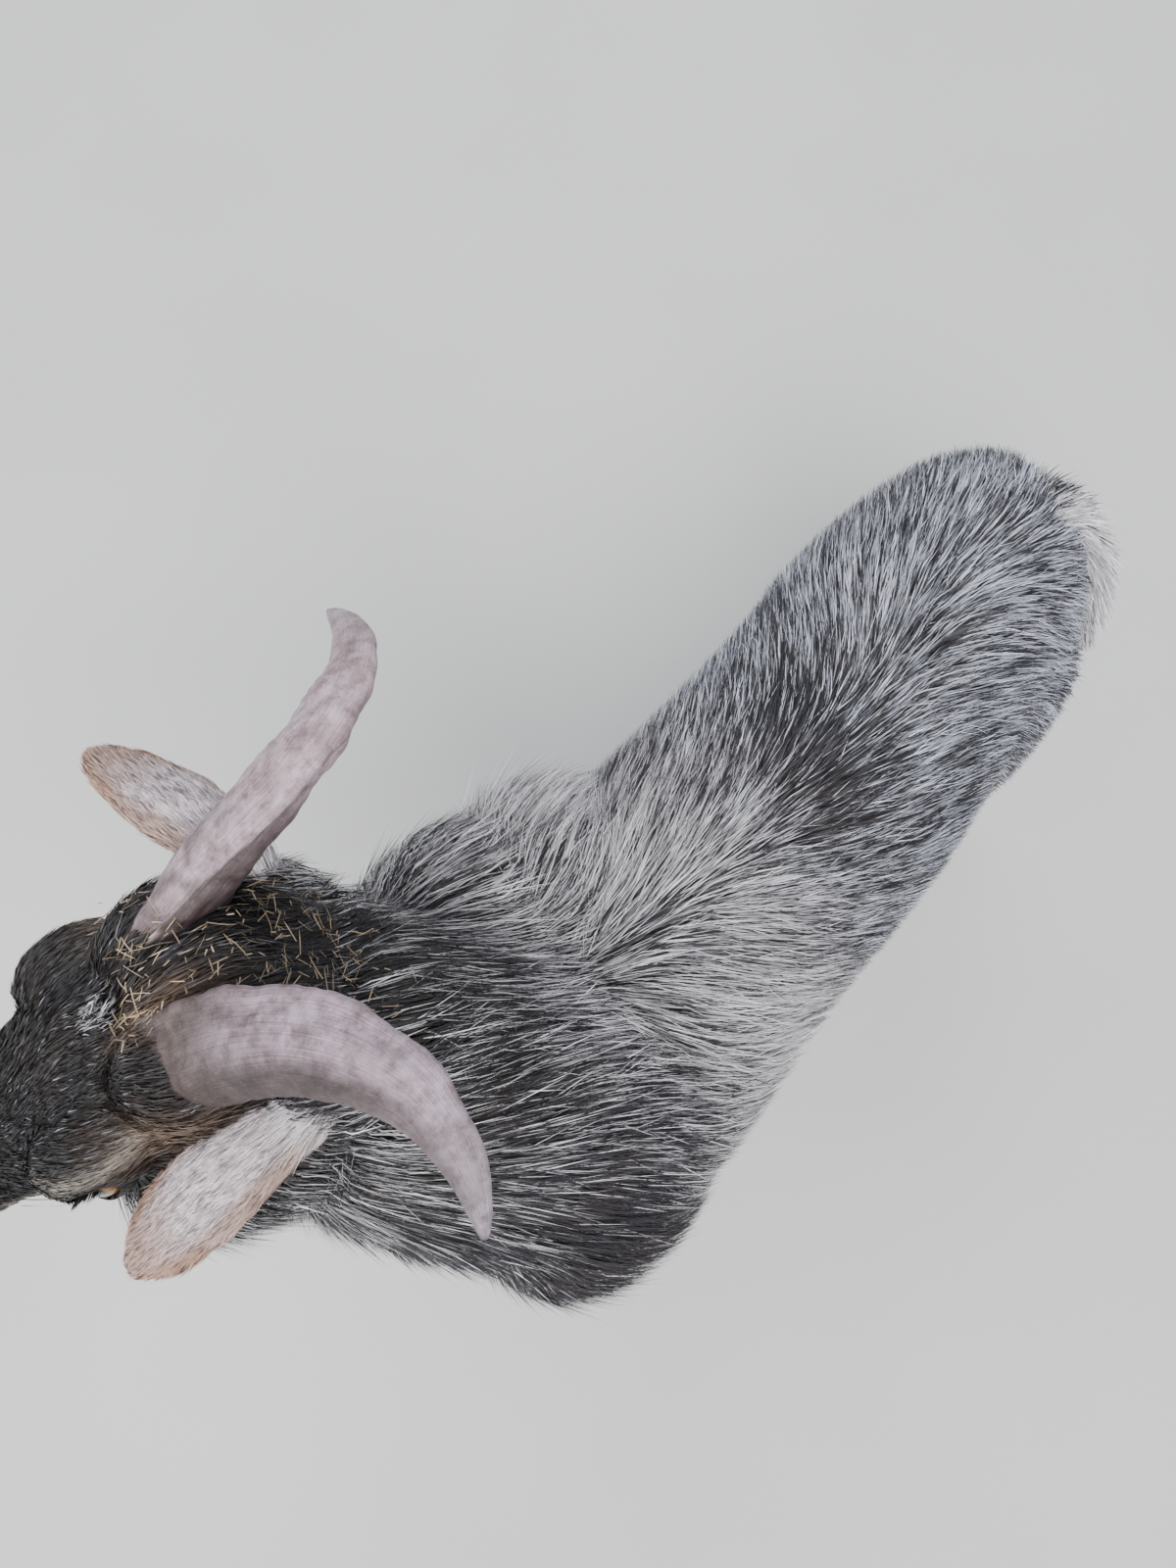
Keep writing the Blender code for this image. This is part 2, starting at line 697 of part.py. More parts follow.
def mouth_targets():
    """Lines from inside the muzzle out to the line of the mouth"""
    rows = []
    left = ((0.094, -0.0590), (0.110, -0.0620), (0.126, -0.0645), (0.142, -0.0660))
    for x, z in left:
        rows.append(((x, 0.0, z), (x, 0.1, z)))
    for degrees in (62, 40, 20, 0, -20, -40, -62):
        angle = math.radians(degrees)
        start = (0.148, 0.0, -0.0665)
        rows.append((start, (0.148 + 0.1 * math.cos(angle), 0.1 * math.sin(angle), -0.0675)))
    for x, z in reversed(left):
        rows.append(((x, 0.0, z), (x, -0.1, z)))
    return rows


def head_features(head):
    """Sockets, lids, nostrils and the line of the mouth"""
    tree = BVHTree.FromObject(head, bpy.context.evaluated_depsgraph_get())
    mouth = groove("mouth", surface_path(tree, mouth_targets(), 0.0006), 0.0010, 0.0026)
    cutters = [mouth]
    for sign in (1, -1):
        path = []
        for angle in (-70, -30, 10, 50, 90, 125):
            a = math.radians(angle)
            target = (0.40 * math.cos(a) + 0.85, 1.0 * sign * 0.62 + 0.30 * sign * math.cos(a), 0.35 * math.sin(a))
            origin = (0.150, 0.0075 * sign, -0.0440)
            path.append((origin, tuple(np.array(origin) + np.array(target))))
        cutters.append(groove("nostril", surface_path(tree, path, 0.0010), 0.0016, 0.0042))
    for sign in (1, -1):
        place = eye_place(sign)
        socket = ball("socket", place, (EYE_RADIUS + GAP * 1.2,) * 3, 0.0, 14, 8)
        lid = ball("lid", place, (EYE_RADIUS + LID,) * 3, 0.0, 18, 10)
        boolean(head, "UNION", lid)
        cutters.append(lid_opening("opening", sign))
        cutters.append(socket)
    for cutter in cutters:
        boolean(head, "DIFFERENCE", cutter)
        keep_largest(head)
    return head


def horn_point(t, sign=1):
    path = np.asarray(HORN_PATH, float)
    if sign < 0:
        path = path + np.asarray(HORN_RIGHT_MOVES, float)
    a, b, c, d = path
    return a * (1 - t) ** 3 + 3 * b * t * (1 - t) ** 2 + 3 * c * t * t * (1 - t) + d * t ** 3


def build_horn(name, sign, count=18, sides=10):
    """A flattened, keeled horn in the head's own frame"""
    ts = np.concatenate([np.linspace(0.0, 0.93, count - 3), (0.965, 0.99, 1.0)])
    centres = np.array([horn_point(t, sign) for t in ts])
    tangents = [unit(horn_point(min(1, t + 0.01), sign) - horn_point(max(0, t - 0.01), sign)) for t in ts]
    rings = []
    for t, centre, tangent in zip(ts, centres, tangents):
        keel = lerp_rows(HORN_KEEL, t)
        keel = unit(keel - tangent * np.dot(keel, tangent))
        side = np.cross(tangent, keel)
        major, minor = lerp_rows(HORN_SIZES, t)
        ripple = 1.0 + 0.018 * math.sin(t * 60.0) * (1.0 - t)
        points = []
        for index in range(sides):
            angle = 2 * math.pi * index / sides
            out = math.cos(angle)
            sharp = 1.10 if out > 0.9 else 1.0
            width = 1.0 - 0.22 * max(0.0, out)
            points.append(centre + keel * out * major * sharp * ripple + side * math.sin(angle) * minor * width)
        rings.append(np.array(points))
    flip = np.array((1.0, sign, 1.0))
    return loft(name, [row * flip for row in rings])


def build_ear(name, ear, sign, count=12, half=7):
    """A leaf-shaped, cupped ear in the head's own frame"""
    base, direction, cup = ear
    base = np.asarray(base, float)
    direction = unit(direction)
    cup = unit(np.asarray(cup, float) - direction * np.dot(cup, direction))
    across = np.cross(cup, direction)
    rings = []
    for t in np.linspace(0.0, 1.0, count):
        width = float(lerp_rows(EAR_WIDTHS, t)[0])
        hollow = 0.75 * (1 - blend(t, 0.1, 0.95)) + 0.22
        depth = width * hollow
        open_share = float(blend(t, 0.05, 0.26))
        sag = -0.004 * t * t
        centre = base + direction * EAR_LENGTH * t - cup * (depth * 0.5 + sag)
        outer = []
        inner = []
        for index in range(half):
            angle = math.pi * index / (half - 1)
            outer.append(centre + across * math.cos(angle) * width - cup * math.sin(angle) * depth)
        for index in range(1, half - 1):
            angle = math.pi * (1 - index / (half - 1))
            full = math.sin(angle) * depth * 0.7
            wall = min(EAR_WALL, width * 0.5)
            cupped = -math.sin(angle) * max(0.0, depth - wall)
            lift = full * (1 - open_share) + cupped * open_share
            narrow = 1.0 - open_share * wall / max(width, 0.004) * 0.8
            inner.append(centre + across * math.cos(angle) * width * narrow + cup * lift)
        rings.append(np.array(outer + inner))
    return loft(name, rings)


def ear_plane(ear):
    base, direction, _ = ear
    direction = unit(direction)
    return np.asarray(base, float) + direction * 0.013, direction


def horn_cut(sign):
    """Plane at the foot of a horn, for the horn as it is before it is mirrored"""
    tangent = unit(horn_point(0.16, sign) - horn_point(0.10, sign))
    return horn_point(0.12, sign), tangent


def build_claw(name, x, y, claw):
    """One claw of a foot, flat on the floor"""
    rings = []
    for level in (0.0, 0.12, 1.0):
        back = CLAW_SOLE[0] + (CLAW_TOP[0] - CLAW_SOLE[0]) * level
        front = CLAW_SOLE[1] + (CLAW_TOP[1] - CLAW_SOLE[1]) * level
        half = CLAW_SOLE[2] + (CLAW_TOP[2] - CLAW_SOLE[2]) * level
        if level == 0.0:
            back, front, half = back + 0.001, front - 0.001, half - 0.0006
        points = []
        for index in range(10):
            angle = 2 * math.pi * index / 10
            along = math.cos(angle)
            across = math.sin(angle)
            toe = 1.0 - 0.42 * max(0.0, along) ** 2
            px = (back + front) / 2 + along * (front - back) / 2
            out = across * half * toe
            if across * claw < 0:
                out *= 0.86
            py = y + claw * CLAW_SIDE + out
            height = CORONET + CORONET_RISE * (px - 0.0) - GAP
            points.append(np.array((x + px, py, height * level)))
        rings.append(np.array(points))
    return loft(name, rings)


# Locks of the coat

def flow(point, normal):
    """Lie of the coat at a point of the body, along the surface"""
    x, y, z = point
    side = 1.0 if y >= 0 else -1.0
    back = np.array((-1.0, 0.0, 0.0))
    down = np.array((0.0, 0.0, -1.0))
    low = float(blend(0.50 - z, 0.02, 0.26))
    lie = back * (1.0 - 0.45 * low) + down * (0.10 + 0.85 * low)
    lie = lie + np.array((0.0, side, 0.0)) * 0.45 * (1.0 - low) * min(1.0, abs(y) / 0.03)
    neck = float(blend(x, 0.04, 0.10)) * float(blend(z, 0.36, 0.44))
    crest = np.array((-0.62, 0.28, -0.74))
    lie = lie * (1.0 - neck) + unit(crest) * neck
    leg = float(blend(0.27 - z, 0.0, 0.05))
    lie = lie * (1.0 - leg) + np.array((-0.15, 0.0, -1.0)) * leg
    lie = lie - normal * np.dot(lie, normal)
    return unit(lie)


def tapered(name, rings, tip):
    """A closed body through rings that ends in a point"""
    count = len(rings[0])
    points = [point for row in rings for point in row] + [tip]
    last = (len(rings) - 1) * count
    faces = [tuple(range(count))]
    for row in range(len(rings) - 1):
        for index in range(count):
            nxt = (index + 1) % count
            a = row * count + index
            b = row * count + nxt
            faces.append((a, b, b + count, a + count))
    for index in range(count):
        faces.append((last + index, last + (index + 1) % count, len(points) - 1))
    obj = mesh_object(name, points, faces)
    triangulate(obj)
    fix_normals(obj)
    return obj


def lock_mesh(name, tree, root, length, width, height, rng):
    """One flat tapered lock that follows the surface and lifts off towards its tip"""
    shape = ((0.60, -0.0040), (1.0, 0.35), (0.78, 0.85))
    point = np.asarray(root, float)
    rings = []
    sway = rng.uniform(-0.22, 0.22)
    for step, (share, rise) in enumerate(shape):
        near, normal, _, _ = tree.find_nearest(Vector(point))
        near, normal = np.array(near), np.array(normal)
        along = flow(near, normal)
        along = unit(along + np.cross(normal, along) * sway * step)
        across = np.cross(normal, along)
        lift = rise if step == 0 else rise * height
        wide = width * share * 0.5
        thick = max(wide * 0.28, 0.0015)
        centre = near + normal * lift
        rings.append(np.array([centre + across * wide, centre + normal * thick,
                               centre - across * wide, centre - normal * thick]))
        point = near + along * length / 3
    near, normal, _, _ = tree.find_nearest(Vector(point))
    return tapered(name, rings, np.array(near) + np.array(normal) * height)


def hanging_lock(name, root, heading, fall, length, width, face):
    """One flat tapered lock that sets off along heading and bends towards fall"""
    rings = []
    spot = np.asarray(root, float)
    for share in (0.65, 1.0, 0.75):
        heading = unit(heading)
        across = unit(np.cross(face, heading))
        thin = np.cross(heading, across)
        wide = width * share * 0.5
        thick = max(wide * 0.32, 0.0012)
        rings.append(np.array([spot + across * wide, spot + thin * thick,
                               spot - across * wide, spot - thin * thick]))
        heading = unit(heading + np.asarray(fall, float) * 0.45)
        spot = spot + heading * length / 3
    return tapered(name, rings, spot)


def spread_points(obj, count, spacing, rng, accept):
    """Seeded points on the surface, no two nearer than the spacing"""
    work = bmesh.new()
    work.from_mesh(obj.data)
    bmesh.ops.triangulate(work, faces=work.faces)
    faces = [(face.calc_area(), [vert.co.copy() for vert in face.verts], face.normal.copy()) for face in work.faces]
    work.free()
    areas = np.cumsum([item[0] for item in faces])
    chosen = []
    for _ in range(count * 60):
        index = int(np.searchsorted(areas, rng.random() * areas[-1]))
        _, corners, normal = faces[min(index, len(faces) - 1)]
        u, v = rng.random(), rng.random()
        if u + v > 1:
            u, v = 1 - u, 1 - v
        point = corners[0] + (corners[1] - corners[0]) * u + (corners[2] - corners[0]) * v
        weight = accept(point, normal)
        if weight <= 0:
            continue
        gap = spacing / weight
        if all((point - other).length > gap for other in chosen):
            chosen.append(point)
        if len(chosen) >= count:
            break
    return chosen


def trunk_accept(point, normal):
    if point.z < 0.245:
        return 0.0
    if normal.z < -0.55 and point.z < 0.30:
        return 0.0
    if (point - Vector(TAIL[2][:3])).length < 0.050:
        return 0.0
    return 1.0


def coat_locks(body, tree, rng):
    locks = []
    for root in spread_points(body, LOCK_COUNT, LOCK_SPACING, rng, trunk_accept):
        depth = float(coat_depth(np.array([root[:]]))[0])
        front = float(blend(root.x, -0.10, 0.05))
        throat = float(blend(root.x, 0.06, 0.14) * blend(root.z, 0.47, 0.40))
        depth *= 1.0 - 0.35 * throat
        length = 0.080 + 0.030 * front - 0.045 * throat + rng.uniform(-0.008, 0.010)
        width = 0.038 + rng.uniform(-0.005, 0.006)
        locks.append(lock_mesh("lock", tree, root, length, width, depth * (1.0 - CORE_SHARE) + 0.002, rng))
    return locks


def tail_locks(rng):
    """The fringe of the tail, down both its edges and off its tip"""
    rows = spline(TAIL, 9)
    locks = []
    for index, row in enumerate(rows[2:8:2]):
        along = unit(rows[index * 2 + 3][:3] - rows[index * 2 + 1][:3])
        out = unit(np.cross(along, (0.0, 1.0, 0.0)))
        across = unit(np.cross(out, along))
        for side in (1, -1):
            root = row[:3] + across * side * row[3] * 0.55
            heading = unit(along + across * side * 0.8 + np.array((-0.25, 0.0, 0.0)))
            length = 0.036 + rng.uniform(-0.004, 0.005)
            locks.append(hanging_lock("fringe", root, heading, (0.0, 0.0, -0.7), length, 0.017, (-1.0, 0.1, 0.0)))
    tip = rows[-1]
    locks.append(hanging_lock("fringe", rows[7][:3], (-0.1, 0.3, -1.0), (0.0, 0.0, -1.0), 0.050, 0.018, (-1.0, 0.1, 0.0)))
    return locks


def beard_locks(rng):
    """The beard under the chin, in the head's own frame"""
    down = np.array(head_matrix().to_3x3().inverted() @ Vector((0.0, 0.0, -1.0)))
    locks = []
    for x, y, length in ((0.118, 0.0, 0.060), (0.132, 0.010, 0.062), (0.132, -0.010, 0.060), (0.145, 0.003, 0.050),
                         (0.106, 0.009, 0.046), (0.106, -0.009, 0.044)):
        root = np.array((x, y, -0.076))
        heading = unit(np.array((-0.15, y * 6, -1.0)) + down * 0.4)
        locks.append(hanging_lock("beard", root, heading, unit(down) * 0.8, length * rng.uniform(0.92, 1.05), 0.016,
                                  (1.0, 0.4 * math.copysign(1, y), 0.0)))
    return locks


def union_all(obj, extra):
    """Joins a body and its locks by one union"""
    holder = bpy.data.collections.new("locks")
    bpy.context.scene.collection.children.link(holder)
    for item in extra:
        triangulate(item)
        bpy.context.scene.collection.objects.unlink(item)
        holder.objects.link(item)
    triangulate(obj)
    boolean(obj, "UNION", collection=holder, solver="MANIFOLD")
    for item in extra:
        bpy.data.objects.remove(item)
    bpy.data.collections.remove(holder)
    keep_largest(obj)
    return obj


# Parting into nodes

def material(name, colour, rough=0.8):
    mat = bpy.data.materials.new(name)
    mat.use_nodes = True
    shader = mat.node_tree.nodes["Principled BSDF"]
    shader.inputs["Base Color"].default_value = colour
    shader.inputs["Roughness"].default_value = rough
    return mat


def finish_node(obj, name, colour, rough=0.8):
    obj.name = name
    obj.data.name = name
    obj.data.materials.clear()
    obj.data.materials.append(material(name, colour, rough))
    keep_largest(obj)
    for polygon in obj.data.polygons:
        polygon.material_index = 0
        polygon.use_smooth = False
    return obj


# Boxes that hold each leg: low corner, high corner, point and slopes of the plane on top
LEG_BOXES = {
    "foreleg_left": ((0.036, 0.026, -0.02), (0.200, 0.22, 0.0), ((0.090, 0.048, 0.232), 0.0, 0.55)),
    "foreleg_right": ((-0.064, -0.20, -0.02), (0.085, 0.002, 0.0), ((-0.006, -0.024, 0.232), 0.0, -0.55)),
    "hindleg_left": ((-0.480, -0.014, -0.02), (-0.212, 0.20, 0.0), ((-0.296, 0.014, 0.262), 0.10, 0.55)),
    "hindleg_right": ((-0.480, -0.22, -0.02), (-0.200, -0.022, 0.0), ((-0.288, -0.050, 0.262), 0.10, -0.55)),
}
KNEE = {"foreleg": (0.046, 0.128, 0.0), "hindleg": (-0.372, 0.160, 0.35)}
NECK_PLANE = ((0.085, 0.020, 0.440), (0.70, -0.12, 0.70))
HEAD_PLANE = ((-0.038, 0.0, -0.092), (-0.70, 0.0, -0.71))
TAIL_PLANE = ((-0.381, -0.020, 0.435), (-0.90, 0.20, -0.20))


def shifted(plane, amount):
    point, normal = plane
    normal = unit(normal)
    return np.asarray(point, float) + normal * amount, normal


def part_by(obj, plane, name):
    """Splits a body at a plane: what is behind stays, what is in front is the new one"""
    point, normal = shifted(plane, -GAP / 2)
    front = copy_of(obj, name)
    slice_off(obj, point, normal)
    point, normal = shifted(plane, GAP / 2)
    slice_off(front, point, -normal)
    keep_largest(obj)
    keep_largest(front)
    return front


def world_plane(plane, matrix):
    point, normal = plane
    spot = np.array(matrix @ Vector(point))
    return spot, np.array((matrix.to_3x3() @ Vector(normal)).normalized())


def cut_legs(body):
    legs = {}
    for name, (low, high, top) in LEG_BOXES.items():
        leg = copy_of(body, name)
        boolean(leg, "INTERSECT", region("box", low, high, top, -GAP / 2), solver="MANIFOLD")
        keep_largest(leg)
        legs[name] = leg
    for name, (low, high, top) in LEG_BOXES.items():
        boolean(body, "DIFFERENCE", region("box", low, high, top, GAP / 2), solver="MANIFOLD")
        keep_largest(body)
    return legs


def cut_lower_legs(legs, feet):
    nodes = {}
    for name, leg in legs.items():
        kind, side = name.split("_")
        x, height, slope = KNEE[kind]
        plane = (leg_place(name, (x, 0.0, height)), (-slope, 0.0, -1.0))
        point, normal = shifted(plane, -GAP / 2)
        slice_off(leg, point, normal)
        lower = copy_of(feet, "lower")
        box = region("box", *LEG_BOXES[name][:2], ((0.0, 0.0, 0.3), 0.0, 0.0))
        boolean(lower, "INTERSECT", box, solver="MANIFOLD")
        point, normal = shifted(plane, GAP / 2)
        cut_plane(lower, point, -normal)
        keep_largest(leg)
        fx = foot_centre(name)[0]
        cut_plane(lower, (fx, 0.0, CORONET + GAP / 2), unit((CORONET_RISE, 0.0, -1.0)))
        keep_largest(lower)
        nodes[f"{kind}_upper_{side}"] = leg
        nodes[f"{kind}_lower_{side}"] = lower
    return nodes


def build_tail():
    obj = tube("tail", TAIL, 14, 10)
    return obj


def move_all(objects):
    """Puts the middle of the underside of the whole at the origin"""
    corners = np.vstack([points_of(obj) for obj in objects])
    low, high = corners.min(axis=0), corners.max(axis=0)
    shift = Matrix.Translation((-(low[0] + high[0]) / 2, -(low[1] + high[1]) / 2, -low[2]))
    for obj in objects:
        transform(obj, shift)


def build_goat():
    clear_scene()
    rng = random.Random(SEED)
    matrix = head_matrix()
    body = body_skin(BODY_VOXEL, 22)
    head = build_skull(body)
    body, feet = build_body(body)
    tree = BVHTree.FromObject(body, bpy.context.evaluated_depsgraph_get())
    if LOCKS:
        union_all(body, coat_locks(body, tree, rng))
    else:
        keep_largest(body)
    head_end = world_plane(HEAD_PLANE, matrix)
    point, normal = shifted(head_end, GAP / 2)
    slice_off(body, point, -normal)
    keep_largest(body)
    neck = part_by(body, NECK_PLANE, "neck")
    tail = build_tail()
    point, normal = shifted(TAIL_PLANE, 0.0)
    cut_plane(tail, point, -normal)
    if LOCKS:
        union_all(tail, tail_locks(rng))
    for amount in (GAP * 3, GAP):
        hollow = copy_of(tail, "hollow")
        set_points(hollow, grown(hollow, amount))
        boolean(body, "DIFFERENCE", hollow, solver="MANIFOLD")
        keep_largest(body)
    legs = cut_lower_legs(cut_legs(body), feet)
    bpy.data.objects.remove(feet)

    thin_out(head, HEAD_FACES)
    head_features(head)
    if LOCKS:
        union_all(head, beard_locks(rng))
    point, normal = shifted(HEAD_PLANE, -GAP / HEAD_SCALE / 2)
    slice_off(head, point, normal)
    keep_largest(head)
    ears = {}
    for side, ear, sign in (("left", EAR_LEFT, 1), ("right", EAR_RIGHT, -1)):
        ears[side] = build_ear("ear_" + side, ear, sign)
    horns = {}
    for side, sign in (("left", 1), ("right", -1)):
        flip = np.array((1.0, sign, 1.0))
        spot, tangent = horn_cut(sign)
        horn = build_horn("horn_" + side, sign)
        cut_plane(horn, spot * flip, -tangent * flip)
        slab = build_horn("slot", sign)
        set_points(slab, grown(slab, GAP * 3))
        boolean(head, "DIFFERENCE", slab, solver="MANIFOLD")
        keep_largest(head)
        horns[side] = horn
    eyes = {}
    for side, sign in (("left", 1), ("right", -1)):
        eyes[side] = ball("eye_" + side, eye_place(sign), (EYE_RADIUS,) * 3, 0.0, 14, 8)
    for side in ("left", "right"):
        ear = EAR_LEFT if side == "left" else EAR_RIGHT
        spot, direction = ear_plane(ear)
        cut_plane(ears[side], spot, -direction)
        box = build_ear("slot", ear, 1)
        set_points(box, grown(box, GAP * 6))
        boolean(head, "DIFFERENCE", box, solver="MANIFOLD")
        keep_largest(head)

    nodes = [finish_node(body, "torso", COLOURS["coat"]), finish_node(neck, "neck", COLOURS["coat"]),
             finish_node(tail, "tail", COLOURS["coat"])]
    for name, obj in legs.items():
        nodes.append(finish_node(obj, name, COLOURS["coat"]))
    for obj in [head, *ears.values(), *horns.values(), *eyes.values()]:
        transform(obj, matrix)
    nodes.append(finish_node(head, "head", COLOURS["coat"]))
    for side in ("left", "right"):
        nodes.append(finish_node(ears[side], "ear_" + side, COLOURS["ear"]))
        nodes.append(finish_node(horns[side], "horn_" + side, COLOURS["horn"], 0.55))
        nodes.append(finish_node(eyes[side], "eye_" + side, COLOURS["eye"], 0.15))
    for leg in LEGS:
        x, y = foot_centre(leg)
        for claw in (1, -1):
            word = "outer" if claw == LEGS[leg][3] else "inner"
            name = leg.replace("leg", "claw") + "_" + word
            nodes.append(finish_node(build_claw(name, x, y, claw), name, COLOURS["hoof"], 0.5))
    move_all(nodes)


def grown(obj, amount):
    return points_of(obj) + vertex_normals(obj) * amount


build_goat()
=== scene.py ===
# Visual model of a dwarf goat: skin, coat of mesh hair, horns, eyes and hooves, floor, light and camera.
# Metres, +X to the front, +Y to the animal's left, +Z up.
import math
from contextlib import contextmanager

import bmesh
import bpy
import numpy as np
from mathutils import Matrix, Vector
from mathutils.bvhtree import BVHTree
from mathutils.kdtree import KDTree


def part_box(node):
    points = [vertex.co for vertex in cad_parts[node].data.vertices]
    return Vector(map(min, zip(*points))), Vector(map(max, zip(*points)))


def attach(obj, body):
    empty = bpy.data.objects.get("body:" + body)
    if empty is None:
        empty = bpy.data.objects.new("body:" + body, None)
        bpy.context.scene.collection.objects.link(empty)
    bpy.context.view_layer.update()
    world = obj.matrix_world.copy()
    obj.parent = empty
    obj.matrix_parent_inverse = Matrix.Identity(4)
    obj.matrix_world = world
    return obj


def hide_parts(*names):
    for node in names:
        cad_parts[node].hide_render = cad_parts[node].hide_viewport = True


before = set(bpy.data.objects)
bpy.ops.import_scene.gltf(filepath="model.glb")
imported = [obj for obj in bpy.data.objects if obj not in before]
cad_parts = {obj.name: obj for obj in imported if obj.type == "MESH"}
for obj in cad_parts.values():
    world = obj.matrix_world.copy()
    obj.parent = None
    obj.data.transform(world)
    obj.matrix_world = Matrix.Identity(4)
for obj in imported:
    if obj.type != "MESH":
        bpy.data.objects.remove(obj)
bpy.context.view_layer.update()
RNG = np.random.default_rng(2311)

# Room between neighbouring solids
GAP = 0.0003
# Pose of the head: poll, turn, tilt down, roll and size of its own frame
POLL = (0.199, -0.099, 0.653)
HEAD_TURN = -20.0
HEAD_DOWN = 20.0
HEAD_ROLL = 15.0
HEAD_SCALE = 1.04
# Trunk, rear to front: x, y, height of greatest width, half width, up, down
TRUNK = (
    (-0.405, -0.030, 0.400, 0.030, 0.030, 0.040),
    (-0.388, -0.031, 0.395, 0.047, 0.050, 0.068),
    (-0.350, -0.030, 0.385, 0.065, 0.080, 0.098),
    (-0.300, -0.022, 0.370, 0.077, 0.103, 0.120),
    (-0.250, -0.012, 0.345, 0.085, 0.117, 0.120),
    (-0.180, -0.001, 0.325, 0.092, 0.131, 0.111),
    (-0.110, 0.005, 0.325, 0.094, 0.132, 0.104),
    (-0.040, 0.010, 0.330, 0.092, 0.138, 0.098),
    (0.020, 0.016, 0.335, 0.092, 0.140, 0.095),
    (0.075, 0.026, 0.335, 0.090, 0.120, 0.090),
    (0.120, 0.038, 0.342, 0.075, 0.088, 0.078),
    (0.150, 0.044, 0.350, 0.046, 0.052, 0.052),
)
# Neck, chest to skull: centre, half width, towards the crest, towards the throat
NECK = (
    (0.010, 0.012, 0.370, 0.085, 0.090, 0.095),
    (0.070, 0.022, 0.405, 0.088, 0.072, 0.100),
    (0.112, 0.012, 0.450, 0.077, 0.060, 0.083),
    (0.138, -0.012, 0.500, 0.063, 0.054, 0.064),
    (0.155, -0.033, 0.550, 0.050, 0.047, 0.054),
    (0.164, -0.050, 0.592, 0.040, 0.043, 0.042),
    (0.174, -0.066, 0.620, 0.034, 0.030, 0.033),
)
# Legs, top to foot: x, y, z, half width, forward, backward
FORELEG = (
    (0.058, 0.060, 0.345, 0.036, 0.052, 0.056),
    (0.045, 0.070, 0.290, 0.031, 0.041, 0.047),
    (0.036, 0.074, 0.250, 0.024, 0.030, 0.034),
    (0.038, 0.074, 0.210, 0.0185, 0.022, 0.024),
    (0.042, 0.073, 0.170, 0.0150, 0.018, 0.018),
    (0.046, 0.072, 0.142, 0.0165, 0.018, 0.016),
    (0.046, 0.072, 0.122, 0.0158, 0.016, 0.0155),
    (0.044, 0.071, 0.100, 0.0118, 0.0118, 0.0122),
    (0.043, 0.071, 0.070, 0.0112, 0.0112, 0.0122),
    (0.044, 0.071, 0.053, 0.0146, 0.0136, 0.0156),
    (0.050, 0.071, 0.039, 0.0140, 0.0122, 0.0122),
    (0.055, 0.071, 0.030, 0.0135, 0.0120, 0.0110),
)
HINDLEG = (
    (-0.315, 0.050, 0.370, 0.034, 0.060, 0.060),
    (-0.300, 0.062, 0.310, 0.034, 0.058, 0.062),
    (-0.291, 0.069, 0.260, 0.029, 0.044, 0.050),
    (-0.310, 0.071, 0.220, 0.0225, 0.030, 0.034),
    (-0.343, 0.070, 0.187, 0.0165, 0.019, 0.022),
    (-0.368, 0.069, 0.162, 0.0150, 0.017, 0.020),
    (-0.372, 0.069, 0.138, 0.0138, 0.0155, 0.0165),
    (-0.367, 0.069, 0.110, 0.0118, 0.0125, 0.0135),
    (-0.362, 0.069, 0.076, 0.0115, 0.0120, 0.0130),
    (-0.360, 0.069, 0.056, 0.0148, 0.0140, 0.0160),
    (-0.353, 0.069, 0.041, 0.0140, 0.0122, 0.0125),
    (-0.347, 0.069, 0.031, 0.0135, 0.0120, 0.0110),
)
# Each leg: its form, move of its top, move of its foot (forward, to the left), side
LEGS = {
    "foreleg_left": (FORELEG, (0.052, 0.018), (0.066, 0.010), 1),
    "foreleg_right": (FORELEG, (-0.046, 0.000), (-0.052, 0.006), -1),
    "hindleg_left": (HINDLEG, (-0.006, -0.018), (-0.016, -0.016), 1),
    "hindleg_right": (HINDLEG, (0.002, -0.018), (0.028, -0.018), -1),
}
LEG_TOP = 0.345
# Round forms laid over the tubes: centre, radii, tilt about the cross axis in degrees
MUSCLES = (
    ((0.112, 0.084, 0.362), (0.058, 0.042, 0.098), 14.0),
    ((0.150, 0.072, 0.330), (0.034, 0.036, 0.050), 0.0),
    ((-0.002, -0.070, 0.372), (0.040, 0.033, 0.100), 14.0),
    ((0.045, -0.062, 0.320), (0.036, 0.032, 0.048), 0.0),
    ((0.040, -0.046, 0.432), (0.056, 0.034, 0.056), 0.0),
    ((0.082, -0.062, 0.468), (0.042, 0.038, 0.054), 20.0),
    ((-0.306, 0.018, 0.335), (0.078, 0.037, 0.112), -12.0),
    ((-0.300, -0.066, 0.335), (0.078, 0.038, 0.112), -12.0),
    ((-0.246, 0.052, 0.262), (0.030, 0.024, 0.046), -20.0),
    ((-0.236, -0.087, 0.262), (0.030, 0.024, 0.046), -20.0),
    ((-0.378, 0.006, 0.350), (0.030, 0.026, 0.060), 0.0),
    ((-0.376, -0.058, 0.350), (0.030, 0.026, 0.060), 0.0),
)
HOCK_POINT = ((-0.388, 0.069, 0.172), (0.012, 0.0085, 0.016), -25.0)
# Tail: centre, half width, outer side, inner side
TAIL = (
    (-0.360, -0.026, 0.438, 0.020, 0.014, 0.014),
    (-0.390, -0.019, 0.434, 0.020, 0.013, 0.013),
    (-0.411, 0.000, 0.410, 0.021, 0.012, 0.012),
    (-0.418, 0.020, 0.374, 0.020, 0.011, 0.011),
    (-0.417, 0.034, 0.340, 0.016, 0.009, 0.009),
    (-0.415, 0.042, 0.312, 0.006, 0.004, 0.004),
)
